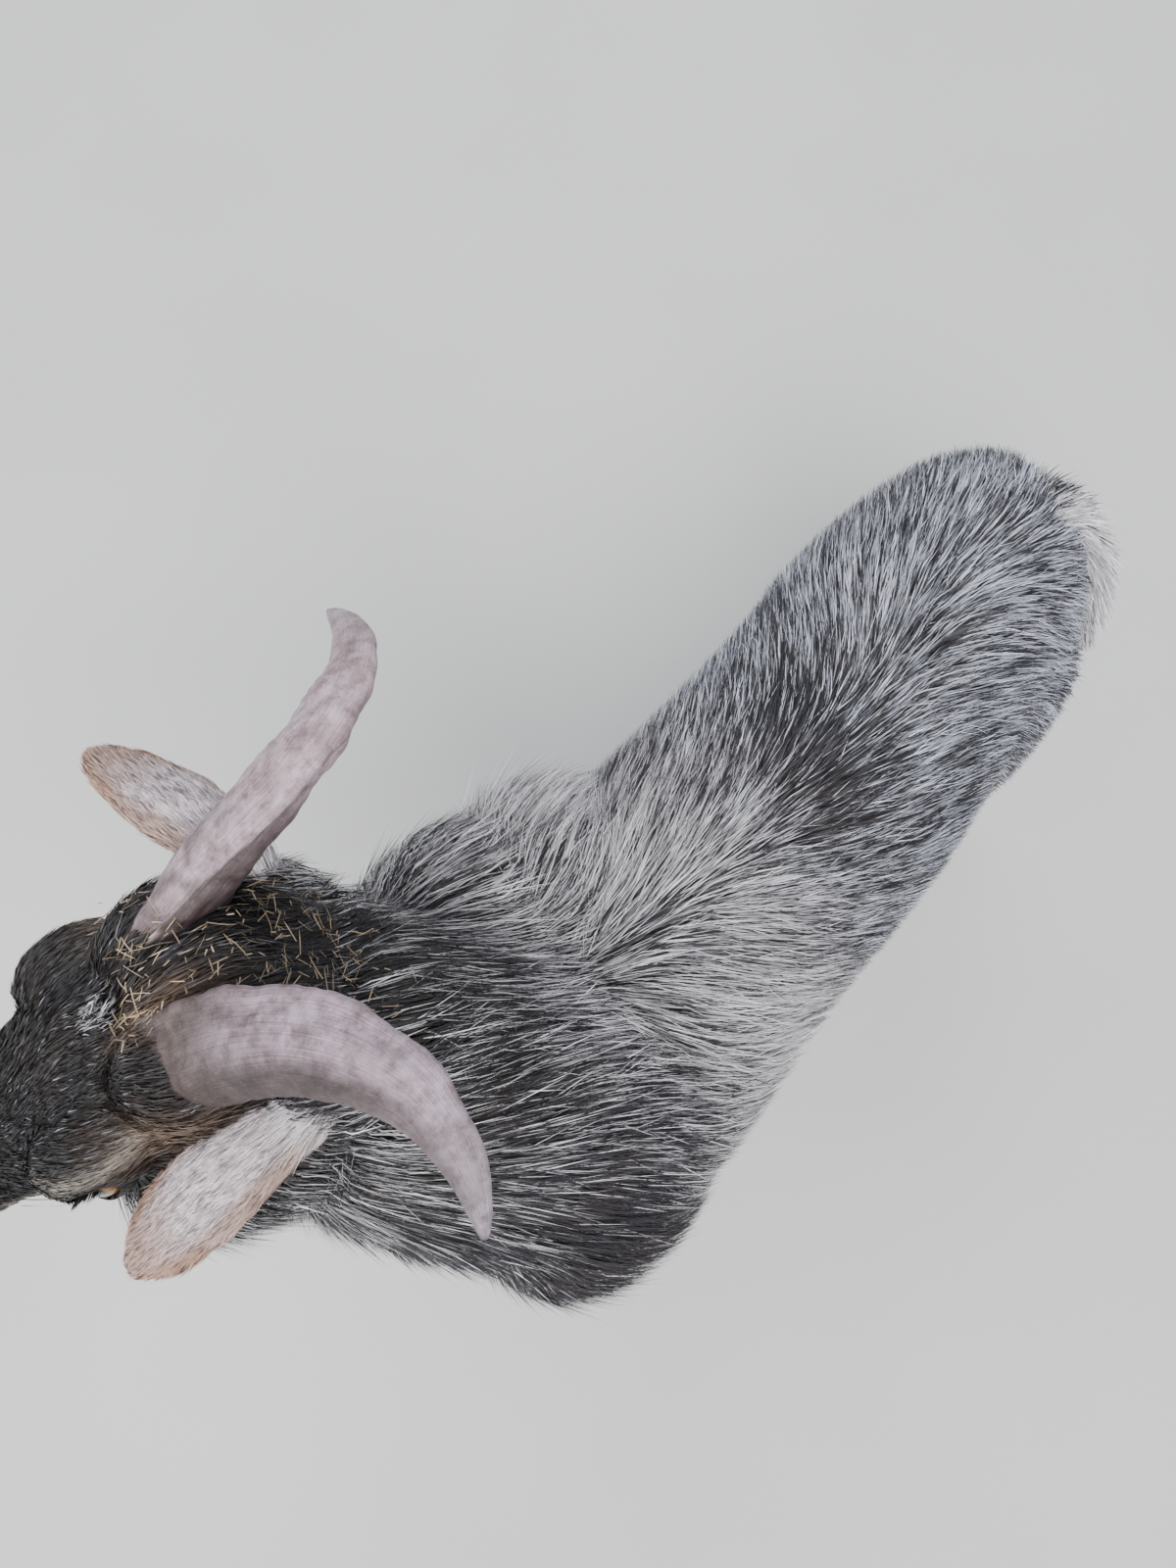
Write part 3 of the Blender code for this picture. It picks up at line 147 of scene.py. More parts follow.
# Skull in the head's own frame: x, height of greatest width, half width, up, down, lower width share
SKULL = (
    (-0.058, -0.045, 0.026, 0.024, 0.030, 0.9),
    (-0.045, -0.040, 0.040, 0.034, 0.050, 0.9),
    (-0.020, -0.034, 0.050, 0.034, 0.066, 0.78),
    (0.010, -0.032, 0.051, 0.034, 0.070, 0.72),
    (0.040, -0.032, 0.048, 0.034, 0.062, 0.70),
    (0.070, -0.034, 0.039, 0.028, 0.056, 0.74),
    (0.100, -0.038, 0.033, 0.025, 0.048, 0.80),
    (0.128, -0.043, 0.0300, 0.023, 0.040, 0.84),
    (0.146, -0.048, 0.0290, 0.022, 0.034, 0.86),
    (0.159, -0.052, 0.0240, 0.018, 0.026, 0.86),
    (0.166, -0.054, 0.0130, 0.011, 0.015, 0.86),
)
EYE_CENTRE = (0.044, 0.0440, -0.026)
EYE_RADIUS = 0.0118
EYE_OUT = (0.22, 0.94, 0.26)
LID = 0.0022
# Round forms of each half of the skull: orbit, cheek, jaw, root of the horn, nostril, upper lip
SKULL_SIDE_FORMS = (
    ((0.040, 0.0375, -0.018), (0.030, 0.0185, 0.020), 0.0),
    ((0.008, 0.037, -0.060), (0.048, 0.029, 0.038), 12.0),
    ((0.028, 0.036, -0.077), (0.038, 0.024, 0.025), 12.0),
    ((-0.010, 0.026, -0.010), (0.028, 0.020, 0.020), 0.0),
    ((0.161, 0.0125, -0.043), (0.011, 0.0095, 0.0090), 0.0),
    ((0.155, 0.0135, -0.060), (0.017, 0.0125, 0.0110), 0.0),
)
# Chin and crown
SKULL_MIDDLE_FORMS = (
    ((0.146, 0.0, -0.076), (0.020, 0.0185, 0.0115), 8.0),
    ((-0.020, 0.0, -0.012), (0.034, 0.034, 0.020), 0.0),
)
# Line of the mouth: length and height along the cheek, then directions from a point inside the front
MOUTH_SIDE = ((0.094, -0.0590), (0.110, -0.0620), (0.126, -0.0645), (0.142, -0.0660))
MOUTH_MIDDLE = (0.148, 0.0, -0.0665)
MOUTH_FRONT_ANGLES = (62, 40, 20, 0, -20, -40, -62)
NOSTRIL_MIDDLE = (0.150, 0.0075, -0.0440)
NOSTRIL_ANGLES = (-70, -30, 10, 50, 90, 125)
# Horn, left one in the head's frame: path points of one cubic curve
HORN_PATH = ((-0.006, 0.027, -0.020), (-0.042, 0.038, 0.030),
             (-0.146, 0.058, 0.024), (-0.122, 0.131, -0.004))
HORN_RIGHT_MOVES = ((0.004, 0.0, 0.0), (-0.016, 0.0, 0.0), (-0.026, -0.010, 0.0), (0.0, 0.0, 0.0))
HORN_KEEL = (
    (0.0, (0.85, -0.50, 0.20)),
    (0.3, (0.05, -0.85, 0.50)),
    (0.5, (-0.35, -0.85, 0.40)),
    (0.75, (-0.85, -0.45, 0.30)),
    (1.0, (-0.95, -0.10, 0.20)),
)
HORN_SIZES = ((0.0, 0.0220, 0.0155), (0.3, 0.0188, 0.0132), (0.6, 0.0165, 0.0106), (0.8, 0.0112, 0.0080),
              (0.92, 0.0066, 0.0054), (0.98, 0.0034, 0.0030), (1.0, 0.0012, 0.0011))
# Ears in the head's frame: base, direction, direction the cup faces
EAR_LEFT = ((-0.050, 0.049, -0.046), (0.94, 0.33, 0.12), (0.28, -0.05, -0.92))
EAR_RIGHT = ((-0.042, -0.041, -0.038), (0.45, -0.89, 0.42), (0.72, 0.24, -0.65))
EARS = {"left": EAR_LEFT, "right": EAR_RIGHT}
EAR_ROOTS = ((-0.044, 0.043, -0.044), (-0.038, -0.035, -0.042))
EAR_ROOT_RADII = (0.016, 0.016, 0.018)
EAR_LENGTH = 0.103
EAR_WALL = 0.0026
EAR_WIDTHS = ((0.0, 0.0110), (0.12, 0.0125), (0.3, 0.0165), (0.55, 0.0200), (0.8, 0.0165),
              (0.93, 0.0100), (1.0, 0.003))
# Claws of a front foot, relative to the foot's own point on the floor
CLAW_SOLE = (-0.020, 0.028, 0.0082)
CLAW_TOP = (-0.015, 0.014, 0.0074)
CLAW_SIDE = 0.0092
CORONET = 0.0250
CORONET_RISE = 0.30
# Toe above a claw, from the foot's centre: forward, outward, height, half width, forward, backward
DIGIT = (
    (-0.014, 0.0070, 0.046, 0.0088, 0.0110, 0.0120),
    (-0.008, 0.0070, 0.036, 0.0086, 0.0115, 0.0125),
    (-0.001, CLAW_SIDE, 0.024, 0.0078, 0.0130, 0.0135),
    (0.002, CLAW_SIDE, 0.014, 0.0070, 0.0110, 0.0120),
)
DEW_CLAW = ((-0.029, 0.0078, 0.047), (0.0058, 0.0046, 0.0080), 25.0)
FOOT_CENTRES = {"foreleg": (0.060, 0.071), "hindleg": (-0.341, 0.069)}
HEAD_PLANE = ((-0.038, 0.0, -0.092), (-0.70, 0.0, -0.71))
# Share of the coat's depth that the skin fills, grid of the skins and rounds of smoothing on them
SKIN_SHARE = 0.30
BODY_GRID = 0.0042
HEAD_GRID = 0.0018
BODY_RELAX = 36
HEAD_RELAX = 18
# Points closer than this are joined when a mesh is cleaned
CLEAN_GAP = 0.00001
# Points of a fine horn: rings along it and sides of each
HORN_RINGS = 150
HORN_SIDES = 40
HORN_TIP_STEPS = (0.965, 0.99, 1.0)
# Paths that hairs follow: their number on each surface, and steps along each
BODY_GUIDES = 11000
HEAD_GUIDES = 5200
EAR_GUIDES = 700
TAIL_GUIDES = 500
GUIDE_STEPS = 8
# Hairs of each kind, and the most triangles that one piece of coat holds
COUNT_SHARE = 1.0
PIECE_LIMIT = 190000
BODY_GUARD = 285000
BODY_UNDER = 46000
HEAD_HAIRS = 82000
EAR_HAIRS = 16000
TAIL_HAIRS = 8500
BEARD_HAIRS = 1700
STRAW_BITS = 640
# Widths of hairs: trunk and lower leg of undercoat and guard hairs, face, muzzle and neck, ears, tail
UNDER_WIDTHS = (0.0027, 0.0015)
GUARD_WIDTHS = (0.00074, 0.00062)
FACE_WIDTH = 0.00062
MUZZLE_THINNER = 0.00014
NECK_HAIR_WIDTH = 0.00078
EAR_HAIR_WIDTH = 0.0007
TAIL_HAIR_WIDTH = 0.0009
LASH_WIDTH = 0.0007
# Width of a hair along it, as places and shares of its greatest width
TAPER = ((0.0, 0.35, 0.75, 1.0), (0.75, 1.0, 0.72, 0.0))
# Side of the patch of the map that one hair takes
MAP_PATCH = 0.003
# Nodes that the one skin stands for
FLESH_NODES = ("head", "neck", "torso", "tail", "ear_left", "ear_right",
               "foreleg_upper_left", "foreleg_upper_right", "foreleg_lower_left", "foreleg_lower_right",
               "hindleg_upper_left", "hindleg_upper_right", "hindleg_lower_left", "hindleg_lower_right")


def linear(red, green, blue):
    """Linear colour of a colour given in screen values"""
    values = np.array((red, green, blue), float) / 255.0
    return np.where(values <= 0.04045, values / 12.92, ((values + 0.055) / 1.055) ** 2.4)


BLACK = linear(24, 22, 25)
SLATE = linear(38, 37, 45)
SILVER = linear(230, 228, 233)
COOL_SILVER = linear(216, 220, 236)
GREY = linear(128, 127, 136)
CREAM = linear(226, 214, 200)
TAN = linear(140, 114, 94)
BROWN = linear(78, 60, 46)
PINK = linear(150, 104, 92)
PEACH = linear(176, 144, 128)
EAR_PALE = linear(232, 219, 225)
NOSE = linear(44, 38, 40)
STRAW = linear(196, 172, 142)
# Horn of each side: colours of foot, shaft and tip, and where the shaft's colour sets in
HORN_TONES = {
    1: (linear(92, 78, 77), linear(154, 140, 152), linear(156, 149, 161), 0.20),
    -1: (linear(132, 117, 119), linear(175, 158, 168), linear(178, 170, 181), 0.04),
}
# Dark brown of the rough patches at a horn's foot, also used as the shade painted on its underside
HORN_ROUGH_AND_SHADE_DARK = linear(52, 40, 36)
HOOF_TONES = ((0.30, linear(34, 30, 28)), (0.55, linear(60, 53, 47)), (0.75, linear(96, 86, 74)))
IRIS_TONES = ((0.10, linear(74, 54, 30)), (0.24, linear(118, 86, 46)), (0.33, linear(80, 55, 30)),
              (0.38, linear(20, 15, 14)), (0.47, linear(38, 30, 28)))
# Markings of the trunk: change in the share of silver hairs, centre and radii of a soft spot
SILVER_SPOTS = (
    (0.32, (0.000, -0.010, 0.475), (0.075, 0.125, 0.12)),
    (0.58, (0.002, 0.098, 0.450), (0.060, 0.045, 0.07)),
    (0.56, (0.018, -0.096, 0.455), (0.055, 0.036, 0.07)),
    (0.16, (-0.290, -0.010, 0.475), (0.12, 0.10, 0.08)),
    (-0.30, (-0.128, 0.000, 0.465), (0.045, 0.055, 0.06)),
    (-0.10, (-0.062, -0.066, 0.440), (0.05, 0.04, 0.05)),
    (-0.43, (0.142, 0.086, 0.470), (0.060, 0.060, 0.08)),
    (-0.22, (0.166, 0.018, 0.520), (0.050, 0.050, 0.12)),
)
# Markings of the head in its own frame: on both sides or not, centre, radii, colour and strength
HEAD_MARKS = (
    (True, (0.010, 0.047, -0.012), (0.024, 0.014, 0.016), TAN, 0.46),
    (True, (0.042, 0.046, -0.0085), (0.019, 0.010, 0.0042), CREAM, 0.75),
    (False, (-0.008, 0.010, 0.008), (0.020, 0.009, 0.016), TAN, 0.65),
    (True, (0.118, 0.026, -0.055), (0.022, 0.010, 0.010), CREAM, 0.45),
    (False, (0.140, 0.0, -0.082), (0.022, 0.018, 0.012), GREY, 0.5),
)
# White star between the horns, and radii of the tufts at the roots of the ears, in the head's frame
STAR = ((0.0185, -0.0045, 0.006), (0.0085, 0.0075, 0.030))
EAR_TUFT = (0.016, 0.016, 0.016)
# Room for the bits of hay: on the head in its own frame (x, y), and on the neck
HAY_X = (-0.085, -0.007)
HAY_Y = (-0.034, 0.026)
HAY_NECK_HEIGHT = 0.520
HAY_NECK_SIDE = 0.045
HAY_NECK_BITS = 330
# Half side of the floor; film width, focal length as a share of it, place and turn of the camera
FLOOR_HALF = 4
SENSOR = 36.0
FOCAL_SHARE = 1202.0 / 1600.0
CAMERA_PLACE = (0.0872, 0.0534, 1.14)
CAMERA_TURN = ((-0.7332, -0.6570, 0.1761), (0.6802, -0.7082, 0.1898), (0.0, 0.2588, 0.9659))
# Lights: name, place, target, size, power, colour
LIGHTS = (
    ("key", (0.9, 1.0, 2.6), (0.0, 0.0, 0.3), 1.6, 88.0, (1.0, 0.985, 0.965)),
    ("fill", (-1.4, -1.6, 2.0), (0.0, 0.0, 0.3), 2.2, 42.0, (0.95, 0.97, 1.0)),
    ("front", (2.2, -0.8, 1.2), (0.1, 0.0, 0.4), 1.8, 25.0, (1.0, 1.0, 1.0)),
)
ROOM_COLOUR = (0.92, 0.95, 1.0, 1)
ROOM_STRENGTH = 0.76


# Curves and meshes

def spline(keys, count):
    """Points of a smooth curve through the rows of keys"""
    keys = np.asarray(keys, float)
    padded = np.vstack([2 * keys[0] - keys[1], keys, 2 * keys[-1] - keys[-2]])
    rows = []
    for value in np.linspace(0, len(keys) - 1 - 1e-9, count):
        start = int(value)
        t = value - start
        a, b, c, d = padded[start:start + 4]
        rows.append(0.5 * (2 * b + (c - a) * t + (2 * a - 5 * b + 4 * c - d) * t * t
                           + (3 * b - a - 3 * c + d) * t ** 3))
    return np.array(rows)


def lerp_rows(table, value):
    """One row of a table of (position, values), between its entries"""
    xs = [row[0] for row in table]
    columns = np.array([np.ravel(row[1:]) for row in table], float)
    return np.array([np.interp(value, xs, column) for column in columns.T])


def toward(value, goal, share):
    """A value moved by this share of the way to the goal"""
    return value * (1 - share) + goal * share


def unit(vector):
    vector = np.asarray(vector, float)
    return vector / np.linalg.norm(vector)


def signed_power(value, power):
    return math.copysign(abs(value) ** power, value)


def ring(centre, side, up, width, above, below, count, power=0.9, low_share=1.0):
    """Points round one cross section; the lower half may be narrower"""
    points = []
    for index in range(count):
        angle = 2 * math.pi * index / count
        across = signed_power(math.cos(angle), power)
        rise = signed_power(math.sin(angle), power)
        share = 1.0
        if rise < 0:
            share = 1.0 + (low_share - 1.0) * min(1.0, -rise * 1.4)
        height = above if rise > 0 else below
        points.append(centre + side * across * width * share + up * rise * height)
    return np.array(points)


def new_object(name, data):
    obj = bpy.data.objects.new(name, data)
    bpy.context.scene.collection.objects.link(obj)
    return obj


def mesh_object(name, points, faces):
    mesh = bpy.data.meshes.new(name)
    mesh.from_pydata([tuple(map(float, point)) for point in points], [], faces)
    mesh.update()
    return new_object(name, mesh)


def object_of(name, work):
    """A new object from a work mesh, which is then freed"""
    mesh = bpy.data.meshes.new(name)
    work.to_mesh(mesh)
    work.free()
    return new_object(name, mesh)


def loft(name, rings):
    """A closed body through rings of points, with a fan at each end"""
    count = len(rings[0])
    points = [point for row in rings for point in row]
    faces = []
    for row in range(len(rings) - 1):
        for index in range(count):
            nxt = (index + 1) % count
            a = row * count + index
            b = row * count + nxt
            faces.append((a, b, b + count, a + count))
    points.append(rings[0].mean(axis=0))
    points.append(rings[-1].mean(axis=0))
    first = len(points) - 2
    last = (len(rings) - 1) * count
    for index in range(count):
        nxt = (index + 1) % count
        faces.append((first, nxt, index))
        faces.append((first + 1, last + index, last + nxt))
    obj = mesh_object(name, points, faces)
    fix_normals(obj)
    return obj


@contextmanager
def editing(obj):
    """The mesh of an object to work on, which is put back at the end"""
    work = bmesh.new()
    work.from_mesh(obj.data)
    yield work
    work.to_mesh(obj.data)
    work.free()


def fix_normals(obj):
    with editing(obj) as work:
        bmesh.ops.recalc_face_normals(work, faces=work.faces)
        if work.calc_volume(signed=True) < 0:
            bmesh.ops.reverse_faces(work, faces=work.faces)


def tube(name, keys, count, sides, side=(0, 1, 0), power=0.9):
    """A tube along centres, with a half width, an upper and a lower depth at each"""
    rows = spline(keys, count)
    centres = rows[:, :3]
    tangents = np.gradient(centres, axis=0)
    rings = []
    for row, tangent in zip(rows, tangents):
        tangent = unit(tangent)
        across = unit(np.asarray(side, float) - tangent * np.dot(side, tangent))
        up = np.cross(tangent, across)
        rings.append(ring(row[:3], across, up, row[3], row[4], row[5], sides, power))
    return loft(name, rings)


def ball(name, centre, radii, tilt=0.0, segments=24, rings=14):
    work = bmesh.new()
    bmesh.ops.create_uvsphere(work, u_segments=segments, v_segments=rings, radius=1.0)
    place = Matrix.Translation(centre) @ Matrix.Rotation(math.radians(tilt), 4, "Y")
    bmesh.ops.transform(work, matrix=place @ Matrix.Diagonal((*radii, 1.0)), verts=work.verts)
    return object_of(name, work)


def transform(obj, matrix):
    obj.data.transform(matrix)
    obj.data.update()


def leg_place(name, point):
    """A point of the plain left leg, moved to where this leg has it"""
    _, top, foot, side = LEGS[name]
    x, y, z = point
    share = min(1.0, z / LEG_TOP)
    forward = foot[0] + (top[0] - foot[0]) * share
    left = foot[1] + (top[1] - foot[1]) * share
    return (x + forward, y * side + left, z)


def leg_keys(name):
    return [(*leg_place(name, row[:3]), *row[3:]) for row in LEGS[name][0]]


def foot_centre(name):
    x, y = FOOT_CENTRES[name.split("_")[0]]
    place = leg_place(name, (x, y, 0.0))
    return place[0], place[1]


def join(name, objects):
    """One object that holds the surfaces of all"""
    work = bmesh.new()
    for obj in objects:
        work.from_mesh(obj.data)
    for obj in objects:
        bpy.data.objects.remove(obj)
    return object_of(name, work)


def settle(obj):
    """Puts the result of the modifiers in the mesh"""
    bpy.context.view_layer.update()
    depsgraph = bpy.context.evaluated_depsgraph_get()
    mesh = bpy.data.meshes.new_from_object(obj.evaluated_get(depsgraph))
    obj.modifiers.clear()
    obj.data = mesh


def remesh(obj, voxel):
    modifier = obj.modifiers.new("skin", "REMESH")
    modifier.mode = "VOXEL"
    modifier.voxel_size = voxel
    settle(obj)


def points_of(obj):
    data = np.empty(len(obj.data.vertices) * 3)
    obj.data.vertices.foreach_get("co", data)
    return data.reshape(-1, 3)


def set_points(obj, points):
    obj.data.vertices.foreach_set("co", np.asarray(points, float).ravel())
    obj.data.update()


def relax(obj, rounds, weights=None):
    """Moves each point towards the mean of its neighbours, then part of the way back"""
    count = len(obj.data.vertices)
    edges = np.empty(len(obj.data.edges) * 2, int)
    obj.data.edges.foreach_get("vertices", edges)
    edges = edges.reshape(-1, 2)
    degree = np.bincount(edges.ravel(), minlength=count).astype(float)
    points = points_of(obj)
    share = np.ones(count) if weights is None else weights
    for _ in range(rounds):
        for factor in (0.55, -0.5):
            total = np.zeros_like(points)
            np.add.at(total, edges[:, 0], points[edges[:, 1]])
            np.add.at(total, edges[:, 1], points[edges[:, 0]])
            points = points + (total / degree[:, None] - points) * (factor * share[:, None])
    set_points(obj, points)


def triangulate(obj):
    with editing(obj) as work:
        bmesh.ops.triangulate(work, faces=work.faces)


def boolean(obj, operation, other):
    modifier = obj.modifiers.new("cut", "BOOLEAN")
    modifier.operation = operation
    modifier.solver = "MANIFOLD"
    modifier.object = other
    settle(obj)
    bpy.data.objects.remove(other)


def islands(work):
    """Groups of faces that hang together"""
    seen = set()
    groups = []
    for face in work.faces:
        if face in seen:
            continue
        group = []
        stack = [face]
        seen.add(face)
        while stack:
            item = stack.pop()
            group.append(item)
            for edge in item.edges:
                for other in edge.link_faces:
                    if other not in seen:
                        seen.add(other)
                        stack.append(other)
        groups.append(group)
    return groups


def keep_largest(obj):
    """Cleans the mesh and keeps only its largest connected part"""
    with editing(obj) as work:
        bmesh.ops.remove_doubles(work, verts=work.verts, dist=CLEAN_GAP)
        bmesh.ops.dissolve_degenerate(work, edges=work.edges, dist=CLEAN_GAP)
        bmesh.ops.triangulate(work, faces=work.faces)
        groups = sorted(islands(work), key=len, reverse=True)
        extra = [face for group in groups[1:] for face in group]
        if extra:
            bmesh.ops.delete(work, geom=extra, context="FACES")
        loose = [vert for vert in work.verts if not vert.link_faces]
        bmesh.ops.delete(work, geom=loose, context="VERTS")


def cut_plane(obj, point, normal):
    """Keeps the side of the plane that the normal points away from and closes it"""
    with editing(obj) as work:
        geom = work.verts[:] + work.edges[:] + work.faces[:]
        done = bmesh.ops.bisect_plane(work, geom=geom, dist=1e-6, plane_co=Vector(point),
                                      plane_no=Vector(normal), clear_outer=True)
        edges = [item for item in done["geom_cut"] if isinstance(item, bmesh.types.BMEdge)]
        bmesh.ops.holes_fill(work, edges=edges, sides=0)
        bmesh.ops.triangulate(work, faces=work.faces)
        bmesh.ops.recalc_face_normals(work, faces=work.faces)


def copy_of(obj, name):
    return new_object(name, obj.data.copy())


def blend(value, low, high):
    """0 below low, 1 above high, smooth between"""
    t = np.clip((value - low) / (high - low), 0.0, 1.0)
    return t * t * (3 - 2 * t)


def head_matrix():
    turn = Matrix.Rotation(math.radians(HEAD_TURN), 4, "Z")
    down = Matrix.Rotation(math.radians(HEAD_DOWN), 4, "Y")
    roll = Matrix.Rotation(math.radians(HEAD_ROLL), 4, "X")
    return Matrix.Translation(POLL) @ turn @ down @ roll @ Matrix.Scale(HEAD_SCALE, 4)


def coat_depth(points):
    """How far the coat stands off the skin at points of the body"""
    x, z = points[:, 0], points[:, 2]
    depth = 0.004 + 0.006 * blend(z, 0.12, 0.20) + 0.010 * blend(z, 0.20, 0.29)
    front = blend(x, -0.10, 0.06) * blend(z, 0.27, 0.36)
    return depth + 0.010 * front


def body_parts():
    """Overlapping closed tubes and round forms of trunk, neck and legs"""
    parts = [tube("trunk", TRUNK, 60, 32), tube("neck", NECK, 40, 28)]
    for centre, radii, tilt in MUSCLES:
        parts.append(ball("form", centre, radii, tilt))
    for name in LEGS:
        parts.append(tube(name, leg_keys(name), 60, 16))
        x, y = foot_centre(name)
        for claw in (1, -1):
            keys = [(x + row[0], y + claw * row[1], *row[2:]) for row in DIGIT]
            parts.append(tube("digit", keys, 10, 12))
            centre, radii, tilt = DEW_CLAW
            place = (x + centre[0], y + claw * centre[1], centre[2])
            parts.append(ball("dew", place, radii, tilt, 12, 8))
        if name.startswith("hind"):
            centre, radii, tilt = HOCK_POINT
            parts.append(ball("hock", leg_place(name, centre), radii, tilt))
    return parts


def body_skin():
    obj = join("body", body_parts())
    remesh(obj, BODY_GRID)
    height = points_of(obj)[:, 2]
    relax(obj, BODY_RELAX, 0.12 + 0.88 * blend(height, 0.10, 0.26))
    return obj


def vertex_normals(obj):
    return np.array([vertex.normal[:] for vertex in obj.data.vertices])


def skull_parts():
    side = np.array((0.0, 1.0, 0.0))
    up = np.array((0.0, 0.0, 1.0))
    rings = []
    for row in spline(SKULL, 44):
        centre = np.array((row[0], 0.0, row[1]))
        rings.append(ring(centre, side, up, row[2], row[3], row[4], 32, 0.88, row[5]))
    parts = [loft("skull", rings)]
    for sign, ear_root in ((1, EAR_ROOTS[0]), (-1, EAR_ROOTS[1])):
        for centre, radii, tilt in SKULL_SIDE_FORMS:
            parts.append(ball("form", (centre[0], centre[1] * sign, centre[2]), radii, tilt))
        parts.append(ball("ear_root", ear_root, EAR_ROOT_RADII))
    for centre, radii, tilt in SKULL_MIDDLE_FORMS:
        parts.append(ball("form", centre, radii, tilt))
    return parts


def eye_direction(sign):
    return unit((EYE_OUT[0], EYE_OUT[1] * sign, EYE_OUT[2]))


def eye_place(sign):
    return np.array((EYE_CENTRE[0], EYE_CENTRE[1] * sign, EYE_CENTRE[2]))


def eye_frame(sign):
    """Ways out of an eye, along its slit and across both"""
    out = eye_direction(sign)
    slit = np.array((1.0, 0.0, -0.30))
    along = unit(slit - out * np.dot(slit, out))
    return out, along, np.cross(out, along)


def lid_opening(name, sign):
    """An almond-shaped cutter in front of an eye"""
    out, along, up = eye_frame(sign)
    up = up * (-sign)
    rings = []
    for reach, grow in ((0.2, 0.86), (1.0, 1.0), (2.4, 1.25)):
        points = []
        for index in range(20):
            angle = 2 * math.pi * index / 20
            across = math.cos(angle) * EYE_RADIUS * 1.02
            rise = math.sin(angle) * EYE_RADIUS * 0.62 * (1.0 - 0.30 * abs(math.cos(angle)) ** 2)
            points.append(eye_place(sign) + out * EYE_RADIUS * reach + (along * across + up * rise) * grow)
        rings.append(np.array(points))
    return loft(name, rings)


def surface_path(tree, targets, sink):
    """Points on the surface where lines from the middle to each target leave it"""
    path = []
    for origin, target in targets:
        direction = Vector(target) - Vector(origin)
        hit, normal, _, _ = tree.ray_cast(Vector(origin), direction.normalized())
        path.append((np.array(hit) - np.array(normal) * sink, np.array(normal)))
    return path


def groove(name, path, half_open, depth):
    """A thin wedge along a path of points with normals"""
    rings = []
    points = np.array([item[0] for item in path])
    tangents = np.gradient(points, axis=0)
    last = len(path) - 1
    for index, ((point, normal), tangent) in enumerate(zip(path, tangents)):
        tangent = unit(tangent)
        normal = unit(normal - tangent * np.dot(normal, tangent))
        across = np.cross(tangent, normal)
        end = 0.35 if index in (0, last) else 1.0
        rings.append(np.array([
            point - normal * depth * end,
            point + across * half_open * 0.7 * end,
            point + normal * depth + across * half_open * 1.5,
            point + normal * depth - across * half_open * 1.5,
            point - across * half_open * 0.7 * end,
        ]))
    return loft(name, rings)


def mouth_targets():
    """Lines from inside the muzzle out to the line of the mouth"""
    rows = []
    for x, z in MOUTH_SIDE:
        rows.append(((x, 0.0, z), (x, 0.1, z)))
    for degrees in MOUTH_FRONT_ANGLES:
        angle = math.radians(degrees)
        rows.append((MOUTH_MIDDLE, (0.148 + 0.1 * math.cos(angle), 0.1 * math.sin(angle), -0.0675)))
    for x, z in reversed(MOUTH_SIDE):
        rows.append(((x, 0.0, z), (x, -0.1, z)))
    return rows


def horn_point(t, sign=1):
    path = np.asarray(HORN_PATH, float)
    if sign < 0:
        path = path + np.asarray(HORN_RIGHT_MOVES, float)
    a, b, c, d = path
    return a * (1 - t) ** 3 + 3 * b * t * (1 - t) ** 2 + 3 * c * t * t * (1 - t) + d * t ** 3


def horn_steps(count):
    """Places of the rings along a horn, closer at the tip"""
    return np.concatenate([np.linspace(0.0, 0.93, count - len(HORN_TIP_STEPS)), HORN_TIP_STEPS])


def build_horn(name, sign):
    """A flattened, keeled horn in the head's own frame"""
    rings = []
    for t in horn_steps(HORN_RINGS):
        centre = horn_point(t, sign)
        tangent = unit(horn_point(min(1, t + 0.01), sign) - horn_point(max(0, t - 0.01), sign))
        keel = lerp_rows(HORN_KEEL, t)
        keel = unit(keel - tangent * np.dot(keel, tangent))
        side = np.cross(tangent, keel)
        major, minor = lerp_rows(HORN_SIZES, t)
        ripple = 1.0 + 0.018 * math.sin(t * 60.0) * (1.0 - t)
        points = []
        for index in range(HORN_SIDES):
            angle = 2 * math.pi * index / HORN_SIDES
            out = math.cos(angle)
            sharp = 1.10 if out > 0.9 else 1.0
            width = 1.0 - 0.22 * max(0.0, out)
            across = side * math.sin(angle) * minor * width
            points.append(centre + keel * out * major * sharp * ripple + across)
        rings.append(np.array(points))
    flip = np.array((1.0, sign, 1.0))
    return loft(name, [row * flip for row in rings])


def ear_frame(ear):
    """Base of an ear, its direction, the way that its cup faces and the way across"""
    base, direction, cup = ear
    direction = unit(direction)
    cup = unit(np.asarray(cup, float) - direction * np.dot(cup, direction))
    return np.asarray(base, float), direction, cup, np.cross(cup, direction)


